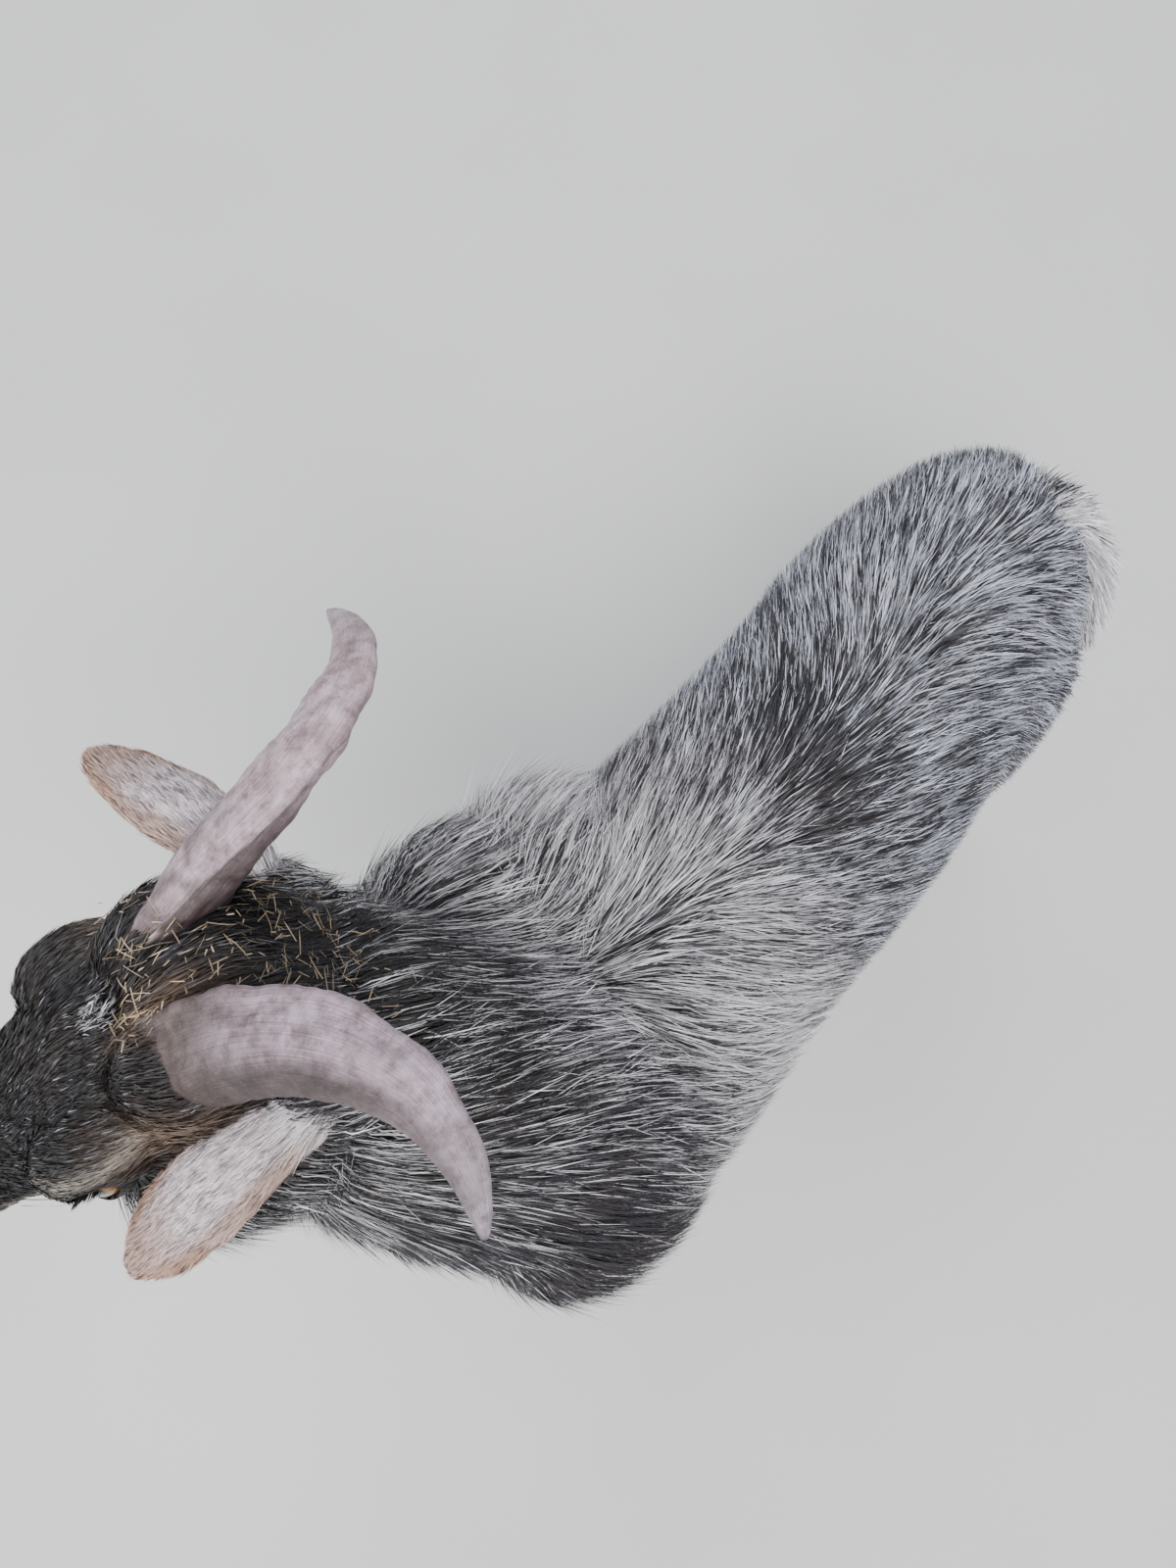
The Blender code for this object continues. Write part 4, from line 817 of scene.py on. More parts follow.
def build_ear(name, ear, count, half):
    """A leaf-shaped, cupped ear in the head's own frame"""
    base, direction, cup, across = ear_frame(ear)
    rings = []
    for t in np.linspace(0.0, 1.0, count):
        width = float(lerp_rows(EAR_WIDTHS, t)[0])
        hollow = 0.75 * (1 - blend(t, 0.1, 0.95)) + 0.22
        depth = width * hollow
        open_share = float(blend(t, 0.05, 0.26))
        sag = -0.004 * t * t
        centre = base + direction * EAR_LENGTH * t - cup * (depth * 0.5 + sag)
        outer = []
        inner = []
        for index in range(half):
            angle = math.pi * index / (half - 1)
            outer.append(centre + across * math.cos(angle) * width - cup * math.sin(angle) * depth)
        for index in range(1, half - 1):
            angle = math.pi * (1 - index / (half - 1))
            full = math.sin(angle) * depth * 0.7
            wall = min(EAR_WALL, width * 0.5)
            cupped = -math.sin(angle) * max(0.0, depth - wall)
            lift = toward(full, cupped, open_share)
            narrow = 1.0 - open_share * wall / max(width, 0.004) * 0.8
            inner.append(centre + across * math.cos(angle) * width * narrow + cup * lift)
        rings.append(np.array(outer + inner))
    return loft(name, rings)


def build_claw(name, x, y, claw):
    """One claw of a foot, flat on the floor"""
    rings = []
    for level in (0.0, 0.12, 1.0):
        back, front, half = (sole + (top - sole) * level for sole, top in zip(CLAW_SOLE, CLAW_TOP))
        if level == 0.0:
            back, front, half = back + 0.001, front - 0.001, half - 0.0006
        points = []
        for index in range(10):
            angle = 2 * math.pi * index / 10
            along = math.cos(angle)
            across = math.sin(angle)
            toe = 1.0 - 0.42 * max(0.0, along) ** 2
            px = (back + front) / 2 + along * (front - back) / 2
            out = across * half * toe
            if across * claw < 0:
                out *= 0.86
            py = y + claw * CLAW_SIDE + out
            height = CORONET + CORONET_RISE * px - GAP
            points.append(np.array((x + px, py, height * level)))
        rings.append(np.array(points))
    return loft(name, rings)


def shifted(plane, amount):
    point, normal = plane
    normal = unit(normal)
    return np.asarray(point, float) + normal * amount, normal


# Fields over the animal

def row_dot(a, b):
    return np.einsum("ij,ij->i", a, b)


def unit_rows(rows):
    return rows / np.maximum(np.linalg.norm(rows, axis=-1, keepdims=True), 1e-9)


def ripple_field(points, size, seed):
    """Smooth seeded noise between about -1 and 1"""
    local = np.random.default_rng(seed)
    total = np.zeros(len(points))
    for _ in range(7):
        direction = local.normal(size=3)
        direction /= np.linalg.norm(direction)
        phase = local.uniform(0, 6.28)
        total += np.sin(points @ direction * 6.28 / (size * local.uniform(0.7, 1.5)) + phase)
    return total / 3.2


def spot(points, centre, radii):
    """1 in the middle of a soft round spot and 0 outside it"""
    away = (points - np.asarray(centre)) / np.asarray(radii)
    return np.exp(-1.2 * row_dot(away, away))


def head_space(points):
    inverse = np.array(head_matrix().inverted())
    return points @ inverse[:3, :3].T + inverse[:3, 3]


def one_side(h):
    """Places on the head, all brought to its left side"""
    out = h.copy()
    out[:, 1] = np.abs(h[:, 1])
    return out


def head_turn():
    return np.array(head_matrix().to_3x3().normalized())


def mix_rows(a, b, share):
    return toward(a, b, np.asarray(share)[:, None])


def body_silver(points):
    """Share of silver hairs on trunk, neck and legs"""
    z = points[:, 2]
    share = 0.37 + 0.09 * ripple_field(points, 0.09, 5) + 0.08 * ripple_field(points, 0.03, 6)
    share += 0.24 * ripple_field(points, 0.0075, 7)
    for amount, centre, radii in SILVER_SPOTS:
        share += amount * spot(points, centre, radii)
    crest = blend(z, 0.545, 0.610)
    share = toward(share, 0.16, crest)
    below = blend(0.36 - z, 0.0, 0.10)
    share = toward(share, 0.34, below)
    leg = blend(0.22 - z, 0.0, 0.05)
    share = toward(share, 0.015, leg)
    return np.clip(share, 0.015, 0.92)


def silver_tone(points):
    """Cooler silver on rump and back, warmer in front"""
    tone = mix_rows(COOL_SILVER[None], SILVER[None], blend(points[:, 0], -0.16, -0.02))
    return mix_rows(tone, GREY[None], blend(0.24 - points[:, 2], 0.0, 0.05))


def body_dark(points):
    """Colour of the dark hairs and of the skin on trunk, neck and legs"""
    z = points[:, 2]
    dark = np.tile(SLATE, (len(points), 1))
    dark = mix_rows(dark, BLACK[None], 0.9 * blend(z, 0.54, 0.60))
    dark = mix_rows(dark, BLACK[None], 0.8 * blend(0.24 - z, 0.0, 0.06))
    warm = 0.5 + 0.5 * ripple_field(points, 0.05, 8)
    dark = mix_rows(dark, BROWN[None], 0.16 * np.clip(warm, 0, 1))
    return dark


def cheek_share(h):
    """1 on cheek and jaw behind the mouth"""
    return blend(-0.034 - h[:, 2], 0.0, 0.03) * blend(0.104 - h[:, 0], 0.0, 0.045)


def star_share(h):
    """1 in the middle of the white star"""
    return spot(h, *STAR)


def head_silver(points):
    """Share of silver hairs on the head"""
    h = head_space(points)
    share = np.full(len(points), 0.035)
    share += 0.34 * cheek_share(h)
    share += 0.05 * blend(h[:, 0], 0.130, 0.150)
    share += 0.80 * star_share(h)
    for ear in EARS.values():
        share += 0.70 * spot(h, ear[0], EAR_TUFT)
    return np.clip(share, 0.02, 0.95)


def head_tone(points):
    """Grey for the odd pale hair of the face, silver for tufts, cheek and neck"""
    h = head_space(points)
    bright = np.clip(star_share(h) * 1.6 + 0.8 * cheek_share(h) + neck_share(points), 0, 1)
    for ear in EARS.values():
        bright = np.clip(bright + spot(h, ear[0], (0.02, 0.02, 0.02)), 0, 1)
    return mix_rows(GREY[None], SILVER[None], bright)


def head_dark(points):
    """Colour of the dark hairs and of the skin on the head"""
    h = head_space(points)
    mirrored = one_side(h)
    dark = np.tile(BLACK, (len(points), 1))
    for both_sides, centre, radii, colour, strength in HEAD_MARKS:
        share = spot(mirrored if both_sides else h, centre, radii)
        dark = mix_rows(dark, colour[None], strength * share)
    dark = mix_rows(dark, BROWN[None], 0.14 * np.clip(ripple_field(h, 0.03, 12), 0, 1))
    return mix_rows(dark, body_dark(points), neck_share(points))


def past_plane(h):
    """How far places in the head's frame lie past the plane between head and neck"""
    point, normal = shifted(HEAD_PLANE, 0.0)
    return (h - point) @ normal


def neck_share(points):
    """0 on the skull and 1 where the neck has taken over"""
    return blend(past_plane(head_space(points)), -0.040, 0.012)


def ear_colours(points, ear, inside):
    """Frosted back with dark flecks, peach margins and tip"""
    h = head_space(points)
    base, direction, _, across = ear_frame(ear)
    away = h - base
    along = np.clip(away @ direction / EAR_LENGTH, 0, 1)
    width = np.interp(along, [row[0] for row in EAR_WIDTHS], [row[1] for row in EAR_WIDTHS])
    edge = np.clip(np.abs(away @ across) / np.maximum(width, 0.004), 0, 1)
    frost = np.clip(0.82 + 0.26 * ripple_field(h, 0.007, 17), 0.1, 1)
    tint = mix_rows(np.tile(SLATE * 1.6, (len(h), 1)), EAR_PALE[None], frost)
    warm = np.clip(blend(edge, 0.55, 0.95) * 0.80 + blend(along, 0.55, 0.92) * 0.85, 0, 1)
    tint = mix_rows(tint, PEACH[None], warm)
    root = blend(0.16 - along, 0.0, 0.14)
    tint = mix_rows(tint, SILVER[None], 0.5 * root)
    pink = mix_rows(np.tile(PINK * 0.8, (len(h), 1)), PEACH[None] * 0.7, blend(edge, 0.5, 0.9))
    return mix_rows(tint, pink, inside)


# Surfaces that hair grows on

class Surface:
    def __init__(self, obj):
        obj.data.calc_loop_triangles()
        self.points = points_of(obj)
        count = len(obj.data.loop_triangles)
        data = np.empty(count * 3, np.int32)
        obj.data.loop_triangles.foreach_get("vertices", data)
        self.triangles = data.reshape(-1, 3)
        self.normals = vertex_normals(obj)
        self.tree = BVHTree.FromPolygons(self.points.tolist(), self.triangles.tolist())
        corners = self.points[self.triangles]
        cross = np.cross(corners[:, 1] - corners[:, 0], corners[:, 2] - corners[:, 0])
        self.areas = np.linalg.norm(cross, axis=1) / 2
        self.centres = corners.mean(axis=1)
        self.facing = unit_rows(self.normals[self.triangles].mean(axis=1))

    def sample(self, count, weight):
        """Seeded points spread over the surface by area and weight, with normals"""
        chance = self.areas * np.clip(weight(self.centres, self.facing), 0, None)
        total = np.cumsum(chance)
        picks = np.searchsorted(total, RNG.random(count) * total[-1])
        picks = np.minimum(picks, len(self.triangles) - 1)
        u, v = RNG.random(count), RNG.random(count)
        over = u + v > 1
        u[over], v[over] = 1 - u[over], 1 - v[over]
        corners = self.points[self.triangles[picks]]
        normals = self.normals[self.triangles[picks]]
        bary = np.stack([1 - u - v, u, v], axis=1)[:, :, None]
        return (corners * bary).sum(axis=1), unit_rows((normals * bary).sum(axis=1))

    def nearest(self, points):
        """Closest surface points and smooth normals"""
        spots = np.empty_like(points)
        normals = np.empty_like(points)
        find = self.tree.find_nearest
        for index, point in enumerate(points.tolist()):
            hit, _, face, _ = find(point)
            spots[index] = hit
            normals[index] = self.facing[face]
        return spots, normals


class Guides:
    """Paths that the hairs near them follow"""
    def __init__(self, surface, count, weight, lengths, lie, follow=True):
        roots, normals = surface.sample(count, weight)
        self.length = lengths(roots, normals)
        steps = GUIDE_STEPS
        self.path = np.empty((count, steps + 1, 3))
        self.normal = np.empty((count, steps + 1, 3))
        place = roots
        for step in range(steps + 1):
            if step > 0 and follow:
                place, normals = surface.nearest(place)
            self.path[:, step] = place
            self.normal[:, step] = normals
            heading = lie(place, normals) if (follow or step == 0) else heading
            place = place + heading * (self.length / steps)[:, None]
        self.find = KDTree(count)
        for index, root in enumerate(roots.tolist()):
            self.find.insert(root, index)
        self.find.balance()

    def near(self, points, count=3):
        picks = np.empty((len(points), count), int)
        away = np.empty((len(points), count))
        find = self.find.find_n
        for row, point in enumerate(points.tolist()):
            for column, (_, index, distance) in enumerate(find(point, count)):
                picks[row, column] = index
                away[row, column] = distance
        return picks, away


def hair_paths(guides, roots, normals, segments, height, reach, clump, wander, layer):
    """Centre points of each hair, and the surface normal along it"""
    picks, away = guides.near(roots)
    share = 1.0 / (away + 0.002)
    share /= share.sum(axis=1, keepdims=True)
    ts = np.linspace(0, 1, segments + 1)
    count = len(roots)
    position = np.clip(ts[None] * reach[:, None] * GUIDE_STEPS, 0, GUIDE_STEPS - 1e-6)
    low = position.astype(int)
    part = (position - low)[:, :, None]

    def between_steps(rows, index):
        return toward(rows[index, low], rows[index, low + 1], part)

    centre = np.zeros((count, segments + 1, 3))
    normal = np.zeros_like(centre)
    for column in range(picks.shape[1]):
        index = picks[:, column][:, None]
        weight = share[:, column][:, None, None]
        centre += (between_steps(guides.path, index) - guides.path[index, 0]) * weight
        normal += between_steps(guides.normal, index) * weight
    centre += roots[:, None]
    normal = unit_rows(normal)
    pull = (clump[:, None] * ts[None] ** 1.3)[:, :, None]
    centre = toward(centre, between_steps(guides.path, picks[:, 0][:, None]), pull)
    rise = (height * layer)[:, None] * ts[None] ** 0.75
    centre += normal * rise[:, :, None]
    drift = unit_rows(RNG.normal(size=(count, 3)))
    drift -= normals * row_dot(drift, normals)[:, None]
    centre += drift[:, None] * (wander[:, None] * ts[None] ** 1.6)[:, :, None]
    return centre, normal, ts


def hair_widths(ts, width):
    return width[:, None] * np.interp(ts, *TAPER)[None]


def hair_corners(centres, normals, widths, roll):
    """Corners of flat hairs: left and right at each ring, and one at the tip"""
    tangents = unit_rows(np.gradient(centres, axis=1))
    across = unit_rows(np.cross(tangents, normals))
    lean = RNG.normal(0, roll, len(centres))[:, None, None]
    across = across * np.cos(lean) + np.cross(across, tangents) * np.sin(lean)
    half = across[:, :-1] * widths[:, :-1, None] / 2
    corners = np.repeat(centres, 2, axis=1)[:, :-1]
    corners[:, 0:-1:2] -= half
    corners[:, 1:-1:2] += half
    return corners


def hair_tints(colours):
    """Colours of the corners, from those of the rings"""
    tint = np.ones((len(colours), 2 * colours.shape[1] - 1, 4))
    tint[..., :3] = np.repeat(colours, 2, axis=1)[:, :-1]
    return tint


def hair_faces(rings):
    """Triangles of one flat hair"""
    faces = []
    for start in range(0, 2 * rings - 4, 2):
        faces += [(start, start + 1, start + 3), (start, start + 3, start + 2)]
    tip = 2 * rings - 2
    return np.array(faces + [(tip - 2, tip - 1, tip)])


def hair_map(rings):
    """Map of one hair: a small patch, with the tip in the middle of its far edge"""
    patch = np.zeros((2 * rings - 1, 2))
    steps = np.arange(rings - 1) / (rings - 1) * MAP_PATCH
    patch[0:-1:2, 1] = steps
    patch[1:-1:2, 1] = steps
    patch[1:-1:2, 0] = MAP_PATCH
    patch[-1] = (MAP_PATCH / 2, MAP_PATCH)
    return patch


def hair_pieces(name, centres, normals, widths, colours, roots, material, unwrap, roll):
    """Flat tapered hairs as meshes of at most PIECE_LIMIT triangles"""
    count, rings, _ = centres.shape
    corners = hair_corners(centres, normals, widths, roll)
    tint = hair_tints(colours)
    faces = hair_faces(rings)
    maps = unwrap(roots)[:, None] + hair_map(rings)[None]
    per_piece = PIECE_LIMIT // len(faces)
    for number, start in enumerate(range(0, count, per_piece), 1):
        part = slice(start, min(count, start + per_piece))
        base = np.arange(part.stop - start)[:, None, None] * (2 * rings - 1)
        triangles = (faces[None] + base).reshape(-1, 3)
        piece = raw_mesh(f"{name}_{number}", corners[part].reshape(-1, 3), triangles,
                         tint[part].reshape(-1, 4), maps[part].reshape(-1, 2))
        piece.data.materials.append(material)
        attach(piece, "root")


def raw_mesh(name, points, triangles, tint, maps):
    mesh = bpy.data.meshes.new(name)
    mesh.vertices.add(len(points))
    mesh.vertices.foreach_set("co", (points + OFFSET).astype(np.float32).ravel())
    mesh.loops.add(len(triangles) * 3)
    mesh.loops.foreach_set("vertex_index", triangles.astype(np.int32).ravel())
    mesh.polygons.add(len(triangles))
    mesh.polygons.foreach_set("loop_start", np.arange(0, len(triangles) * 3, 3, dtype=np.int32))
    mesh.update(calc_edges=True)
    layer = mesh.attributes.new("Tint", "FLOAT_COLOR", "POINT")
    layer.data.foreach_set("color", tint.astype(np.float32).ravel())
    uv = mesh.uv_layers.new(name="OFBake")
    uv.uv.foreach_set("vector", maps[triangles.ravel()].astype(np.float32).ravel())
    mesh.polygons.foreach_set("use_smooth", np.ones(len(triangles), bool))
    return new_object(name, mesh)


# Map places for the hairs, from their roots on the skin: each tube of the body has its own cell, by place
# along it and angle round it

def tube_axes():
    """Axis points of every tube with its cell of the map"""
    matrix = head_matrix()
    cells = [(spline(TRUNK, 30)[:, :3], (0.02, 0.02, 0.44, 0.94)),
             (spline(NECK, 20)[:, :3], (0.48, 0.02, 0.14, 0.94))]
    for number, name in enumerate(LEGS):
        cells.append((spline(leg_keys(name), 30)[:, :3], (0.64, 0.02 + 0.24 * number, 0.17, 0.22)))
    skull = [matrix @ Vector((row[0], 0.0, row[1])) for row in SKULL]
    cells.append((spline([tuple(item) for item in skull], 24), (0.83, 0.02, 0.15, 0.30)))
    cells.append((spline(TAIL, 16)[:, :3], (0.83, 0.34, 0.15, 0.16)))
    for number, ear in enumerate(EARS.values()):
        base, direction, _, _ = ear_frame(ear)
        ends = [base + direction * EAR_LENGTH * t for t in np.linspace(0, 1, 12)]
        path = np.array([tuple(matrix @ Vector(item)) for item in ends])
        cells.append((path, (0.83, 0.52 + 0.24 * number, 0.15, 0.21)))
    return cells


def unwrap_on(*numbers):
    """Map places of roots on the tubes with these numbers"""
    cells = tube_axes()

    def place(points):
        best = np.full(len(points), 1e9)
        out = np.zeros((len(points), 2))
        for number in numbers:
            axis, (u0, v0, wide, high) = cells[number]
            gaps = np.linalg.norm(points[:, None] - axis[None], axis=2)
            index = gaps.argmin(axis=1)
            gap = gaps[np.arange(len(points)), index]
            away = points - axis[index]
            tangent = unit_rows(np.gradient(axis, axis=0))[index]
            side = unit_rows(np.cross(tangent, np.array((0.02, 0.1, 1.0))[None]))
            other = np.cross(side, tangent)
            angle = np.arctan2(row_dot(away, side), row_dot(away, other)) / (2 * math.pi) + 0.5
            along = (index + np.clip(row_dot(away, tangent) / 0.02, -0.5, 0.5) + 0.5) / len(axis)
            closer = gap < best
            best = np.where(closer, gap, best)
            out[closer, 0] = (u0 + np.clip(along, 0, 1) * wide)[closer]
            out[closer, 1] = (v0 + angle * high)[closer]
        return out

    return place


# Materials

class Net:
    """A new material, with short ways to add nodes to it"""
    def __init__(self, name):
        self.material = bpy.data.materials.new(name)
        self.material.use_nodes = True
        self.nodes = self.material.node_tree.nodes
        self.links = self.material.node_tree.links
        self.shader = self.nodes["Principled BSDF"]

    def put(self, socket, value):
        """A link from another node, or a fixed value"""
        if isinstance(value, bpy.types.NodeSocket):
            self.links.new(value, socket)
        else:
            socket.default_value = value

    def feed(self, name, value):
        self.put(self.shader.inputs[name], value)

    def attribute(self, name, output):
        node = self.nodes.new("ShaderNodeAttribute")
        node.attribute_name = name
        return node.outputs[output]

    def uv_map(self, name):
        node = self.nodes.new("ShaderNodeUVMap")
        node.uv_map = name
        return node.outputs["UV"]

    def own_place(self):
        return self.nodes.new("ShaderNodeTexCoord").outputs["Object"]

    def math(self, operation, first, second=0.0):
        node = self.nodes.new("ShaderNodeMath")
        node.operation = operation
        self.put(node.inputs[0], first)
        self.put(node.inputs[1], second)
        return node.outputs[0]

    def mix(self, blend_type, share, first, second):
        node = self.nodes.new("ShaderNodeMix")
        node.data_type = "RGBA"
        node.blend_type = blend_type
        for index, value in ((0, share), (6, first), (7, second)):
            self.put(node.inputs[index], value)
        return node.outputs[2]

    def noise(self, scale, detail, rough=0.5, stretch=(1.0, 1.0, 1.0), place=None):
        """Noise over the object's own places or those of a map, finer along an axis with more stretch"""
        mapping = self.nodes.new("ShaderNodeMapping")
        mapping.inputs["Scale"].default_value = stretch
        self.links.new(place or self.own_place(), mapping.inputs["Vector"])
        texture = self.nodes.new("ShaderNodeTexNoise")
        for name, value in (("Scale", scale), ("Detail", detail), ("Roughness", rough)):
            texture.inputs[name].default_value = value
        self.links.new(mapping.outputs["Vector"], texture.inputs["Vector"])
        return texture.outputs["Fac"]

    def ramp(self, value, stops):
        """Colours at positions from the first stop to the last"""
        node = self.nodes.new("ShaderNodeValToRGB")
        elements = node.color_ramp.elements
        for index in (0, -1):
            elements[index].position = stops[index][0]
            elements[index].color = (*stops[index][1], 1)
        for position, colour in stops[1:-1]:
            elements.new(position).color = (*colour, 1)
        self.links.new(value, node.inputs["Fac"])
        return node.outputs["Color"]

    def bump(self, height, distance, strength):
        node = self.nodes.new("ShaderNodeBump")
        node.inputs["Distance"].default_value = distance
        node.inputs["Strength"].default_value = strength
        self.links.new(height, node.inputs["Height"])
        self.feed("Normal", node.outputs["Normal"])


def coat_material(name, rough):
    net = Net(name)
    shade = net.ramp(net.noise(900.0, 2.0), ((0.3, (0.80, 0.80, 0.80)), (0.7, (1.12, 1.12, 1.12))))
    net.feed("Base Color", net.mix("MULTIPLY", 1.0, net.attribute("Tint", "Color"), shade))
    gloss = net.math("MULTIPLY", net.noise(300.0, 1.0), 0.24)
    net.feed("Roughness", net.math("ADD", gloss, rough - 0.12))
    net.feed("Specular IOR Level", 0.5)
    return net.material


def skin_material():
    """Dark skin with the lie of short fur as bump, wetter on the nose"""
    net = Net("skin")
    shade = net.ramp(net.noise(60.0, 4.0), ((0.3, (0.72, 0.70, 0.70)), (0.7, (1.15, 1.12, 1.10))))
    net.feed("Base Color", net.mix("MULTIPLY", 1.0, net.attribute("Tint", "Color"), shade))
    gloss = net.attribute("Gloss", "Fac")
    net.feed("Roughness", net.math("SUBTRACT", 0.78, net.math("MULTIPLY", gloss, 0.42)))
    cells = net.nodes.new("ShaderNodeTexVoronoi")
    cells.inputs["Scale"].default_value = 520.0
    net.put(cells.inputs["Vector"], net.own_place())
    pebble = net.math("MULTIPLY", cells.outputs["Distance"], gloss)
    fine = net.noise(420.0, 3.0, 0.6, (1.0, 1.0, 0.35))
    net.bump(net.math("ADD", fine, pebble), 0.0012, 0.55)
    return net.material


def horn_material():
    """Matt grey-brown horn: blotched, scuffed, with long fibres and weak growth rings"""
    net = Net("horn")
    growth = net.uv_map("Growth")
    fibre = net.noise(1.0, 4.0, 0.55, (84.0, 6.0, 1.0), growth)
    scuff = net.noise(1.0, 3.0, 0.75, (90.0, 26.0, 1.0), growth)
    rings = net.noise(1.0, 3.0, 0.55, (2.4, 40.0, 1.0), growth)
    blotch = net.noise(30.0, 6.0, 0.7)
    mottle = net.noise(130.0, 5.0, 0.7)
    shade = net.ramp(fibre, ((0.30, (0.66, 0.62, 0.61)), (0.62, (1.12, 1.11, 1.12))))
    dirt = net.ramp(blotch, ((0.34, (0.60, 0.55, 0.53)), (0.49, (0.88, 0.86, 0.85)),
                             (0.62, (1.10, 1.10, 1.12))))
    grain = net.ramp(mottle, ((0.34, (0.42, 0.37, 0.35)), (0.58, (1.10, 1.10, 1.10))))
    pale = net.ramp(scuff, ((0.62, (0.0, 0.0, 0.0)), (0.72, (0.15, 0.14, 0.14))))
    colour = net.mix("MULTIPLY", 1.0, net.attribute("Tint", "Color"), shade)
    colour = net.mix("MULTIPLY", 1.0, colour, dirt)
    colour = net.mix("MULTIPLY", 0.9, colour, grain)
    net.feed("Base Color", net.mix("ADD", 1.0, colour, pale))
    height = net.math("ADD", net.math("MULTIPLY", rings, 0.9), net.math("MULTIPLY", mottle, 0.8))
    height = net.math("ADD", height, net.math("MULTIPLY", fibre, 0.4))
    net.bump(height, 0.0016, 0.75)
    net.feed("Roughness", net.math("ADD", net.math("MULTIPLY", mottle, 0.30), 0.40))
    return net.material


def hoof_material():
    net = Net("hoof")
    rings = net.noise(90.0, 4.0, 0.6, (0.25, 0.25, 3.0))
    net.feed("Base Color", net.ramp(rings, HOOF_TONES))
    net.bump(rings, 0.0012, 0.7)
    net.feed("Roughness", net.math("ADD", net.math("MULTIPLY", rings, 0.3), 0.38))
    return net.material


def eye_material():
    """Amber iris with a level bar of a pupil, from the place across and up the eye"""
    net = Net("eye")
    split = net.nodes.new("ShaderNodeSeparateXYZ")
    net.put(split.inputs["Vector"], net.uv_map("Gaze"))
    across = net.math("SUBTRACT", split.outputs["X"], 0.5)
    up = net.math("SUBTRACT", split.outputs["Y"], 0.5)
    square = net.math("ADD", net.math("MULTIPLY", across, across), net.math("MULTIPLY", up, up))
    speck = net.noise(1500.0, 3.0)
    uneven = net.math("ADD", net.math("SQRT", square), net.math("MULTIPLY", speck, 0.05))
    bar = net.math("POWER", net.math("ABSOLUTE", net.math("MULTIPLY", across, 0.42)), 3.0)
    tall = net.math("POWER", net.math("ABSOLUTE", up), 3.0)
    pupil = net.math("LESS_THAN", net.math("ADD", bar, tall), 0.00035)
    net.feed("Base Color", net.mix("MIX", pupil, net.ramp(uneven, IRIS_TONES), (0.004, 0.004, 0.006, 1.0)))
    net.bump(speck, 0.0001, 0.15)
    net.feed("Roughness", 0.12)
    net.feed("Coat Weight", 1.0)
    net.feed("Coat Roughness", 0.03)
    return net.material


# Skin and other pieces of the body

def colour_points(obj, tint, gloss=None):
    layer = obj.data.attributes.new("Tint", "FLOAT_COLOR", "POINT")
    values = np.ones((len(obj.data.vertices), 4), np.float32)
    values[:, :3] = tint
    layer.data.foreach_set("color", values.ravel())
    if gloss is not None:
        extra = obj.data.attributes.new("Gloss", "FLOAT", "POINT")
        extra.data.foreach_set("value", np.asarray(gloss, np.float32))


def smooth(obj):
    obj.data.polygons.foreach_set("use_smooth", np.ones(len(obj.data.polygons), bool))
    obj.data.update()


def grow_body(body):
    plane_point, plane_normal = shifted(HEAD_PLANE, -0.006)
    spot_world = np.array(head_matrix() @ Vector(plane_point))
    cut_plane(body, spot_world, -(head_turn() @ plane_normal))
    points = points_of(body)
    share = SKIN_SHARE + 0.25 * blend(0.20 - points[:, 2], 0.0, 0.06)
    set_points(body, points + vertex_normals(body) * (coat_depth(points) * share)[:, None])


def skin_of_head(body):
    """The skull with the top of the neck, in the head's own frame"""
    neck = copy_of(body, "neck_top")
    cut_plane(neck, (0.13, 0.0, 0.46), (-0.5, 0.0, -0.85))
    transform(neck, head_matrix().inverted())
    obj = join("head", skull_parts() + [neck])
    remesh(obj, HEAD_GRID)
    relax(obj, HEAD_RELAX)
    points = points_of(obj)
    toward_neck = blend(past_plane(points), -0.022, 0.0)
    grow = 0.0008 + (0.028 * SKIN_SHARE / HEAD_SCALE - 0.0008) * toward_neck
    set_points(obj, points + vertex_normals(obj) * grow[:, None])
    return obj


def nostril_targets(sign):
    """Lines from inside the muzzle out to the curve of a nostril"""
    origin = np.array((NOSTRIL_MIDDLE[0], NOSTRIL_MIDDLE[1] * sign, NOSTRIL_MIDDLE[2]))
    rows = []
    for degrees in NOSTRIL_ANGLES:
        angle = math.radians(degrees)
        across = 0.62 * sign + 0.30 * sign * math.cos(angle)
        rows.append((origin, origin + (0.40 * math.cos(angle) + 0.85, across, 0.35 * math.sin(angle))))
    return rows


def head_details(head):
    """Lids, sockets, nostrils and mouth"""
    tree = BVHTree.FromObject(head, bpy.context.evaluated_depsgraph_get())
    cutters = [groove("mouth", surface_path(tree, mouth_targets(), 0.0004), 0.0008, 0.0026)]
    for sign in (1, -1):
        cutters.append(groove("nostril", surface_path(tree, nostril_targets(sign), 0.0010), 0.0017, 0.0044))
    for sign in (1, -1):
        boolean(head, "UNION", ball("lid", eye_place(sign), (EYE_RADIUS + LID,) * 3, 0.0, 48, 30))
        cutters.append(lid_opening("opening", sign))
        cutters.append(ball("socket", eye_place(sign), (EYE_RADIUS + GAP,) * 3, 0.0, 48, 30))
    for cutter in cutters:
        triangulate(cutter)
        boolean(head, "DIFFERENCE", cutter)
    keep_largest(head)


def fold_skin(head):
    """Soft folds round the eyes"""
    points = points_of(head)
    normals = vertex_normals(head)
    gap = np.linalg.norm(one_side(points) - np.array(EYE_CENTRE), axis=1)
    ring_share = np.exp(-((gap - 0.0190) / 0.0045) ** 2)
    wave = np.sin((gap - EYE_RADIUS) * 6.28 / 0.0034)
    points = points + normals * (0.00035 * ring_share * wave)[:, None]
    set_points(head, points)


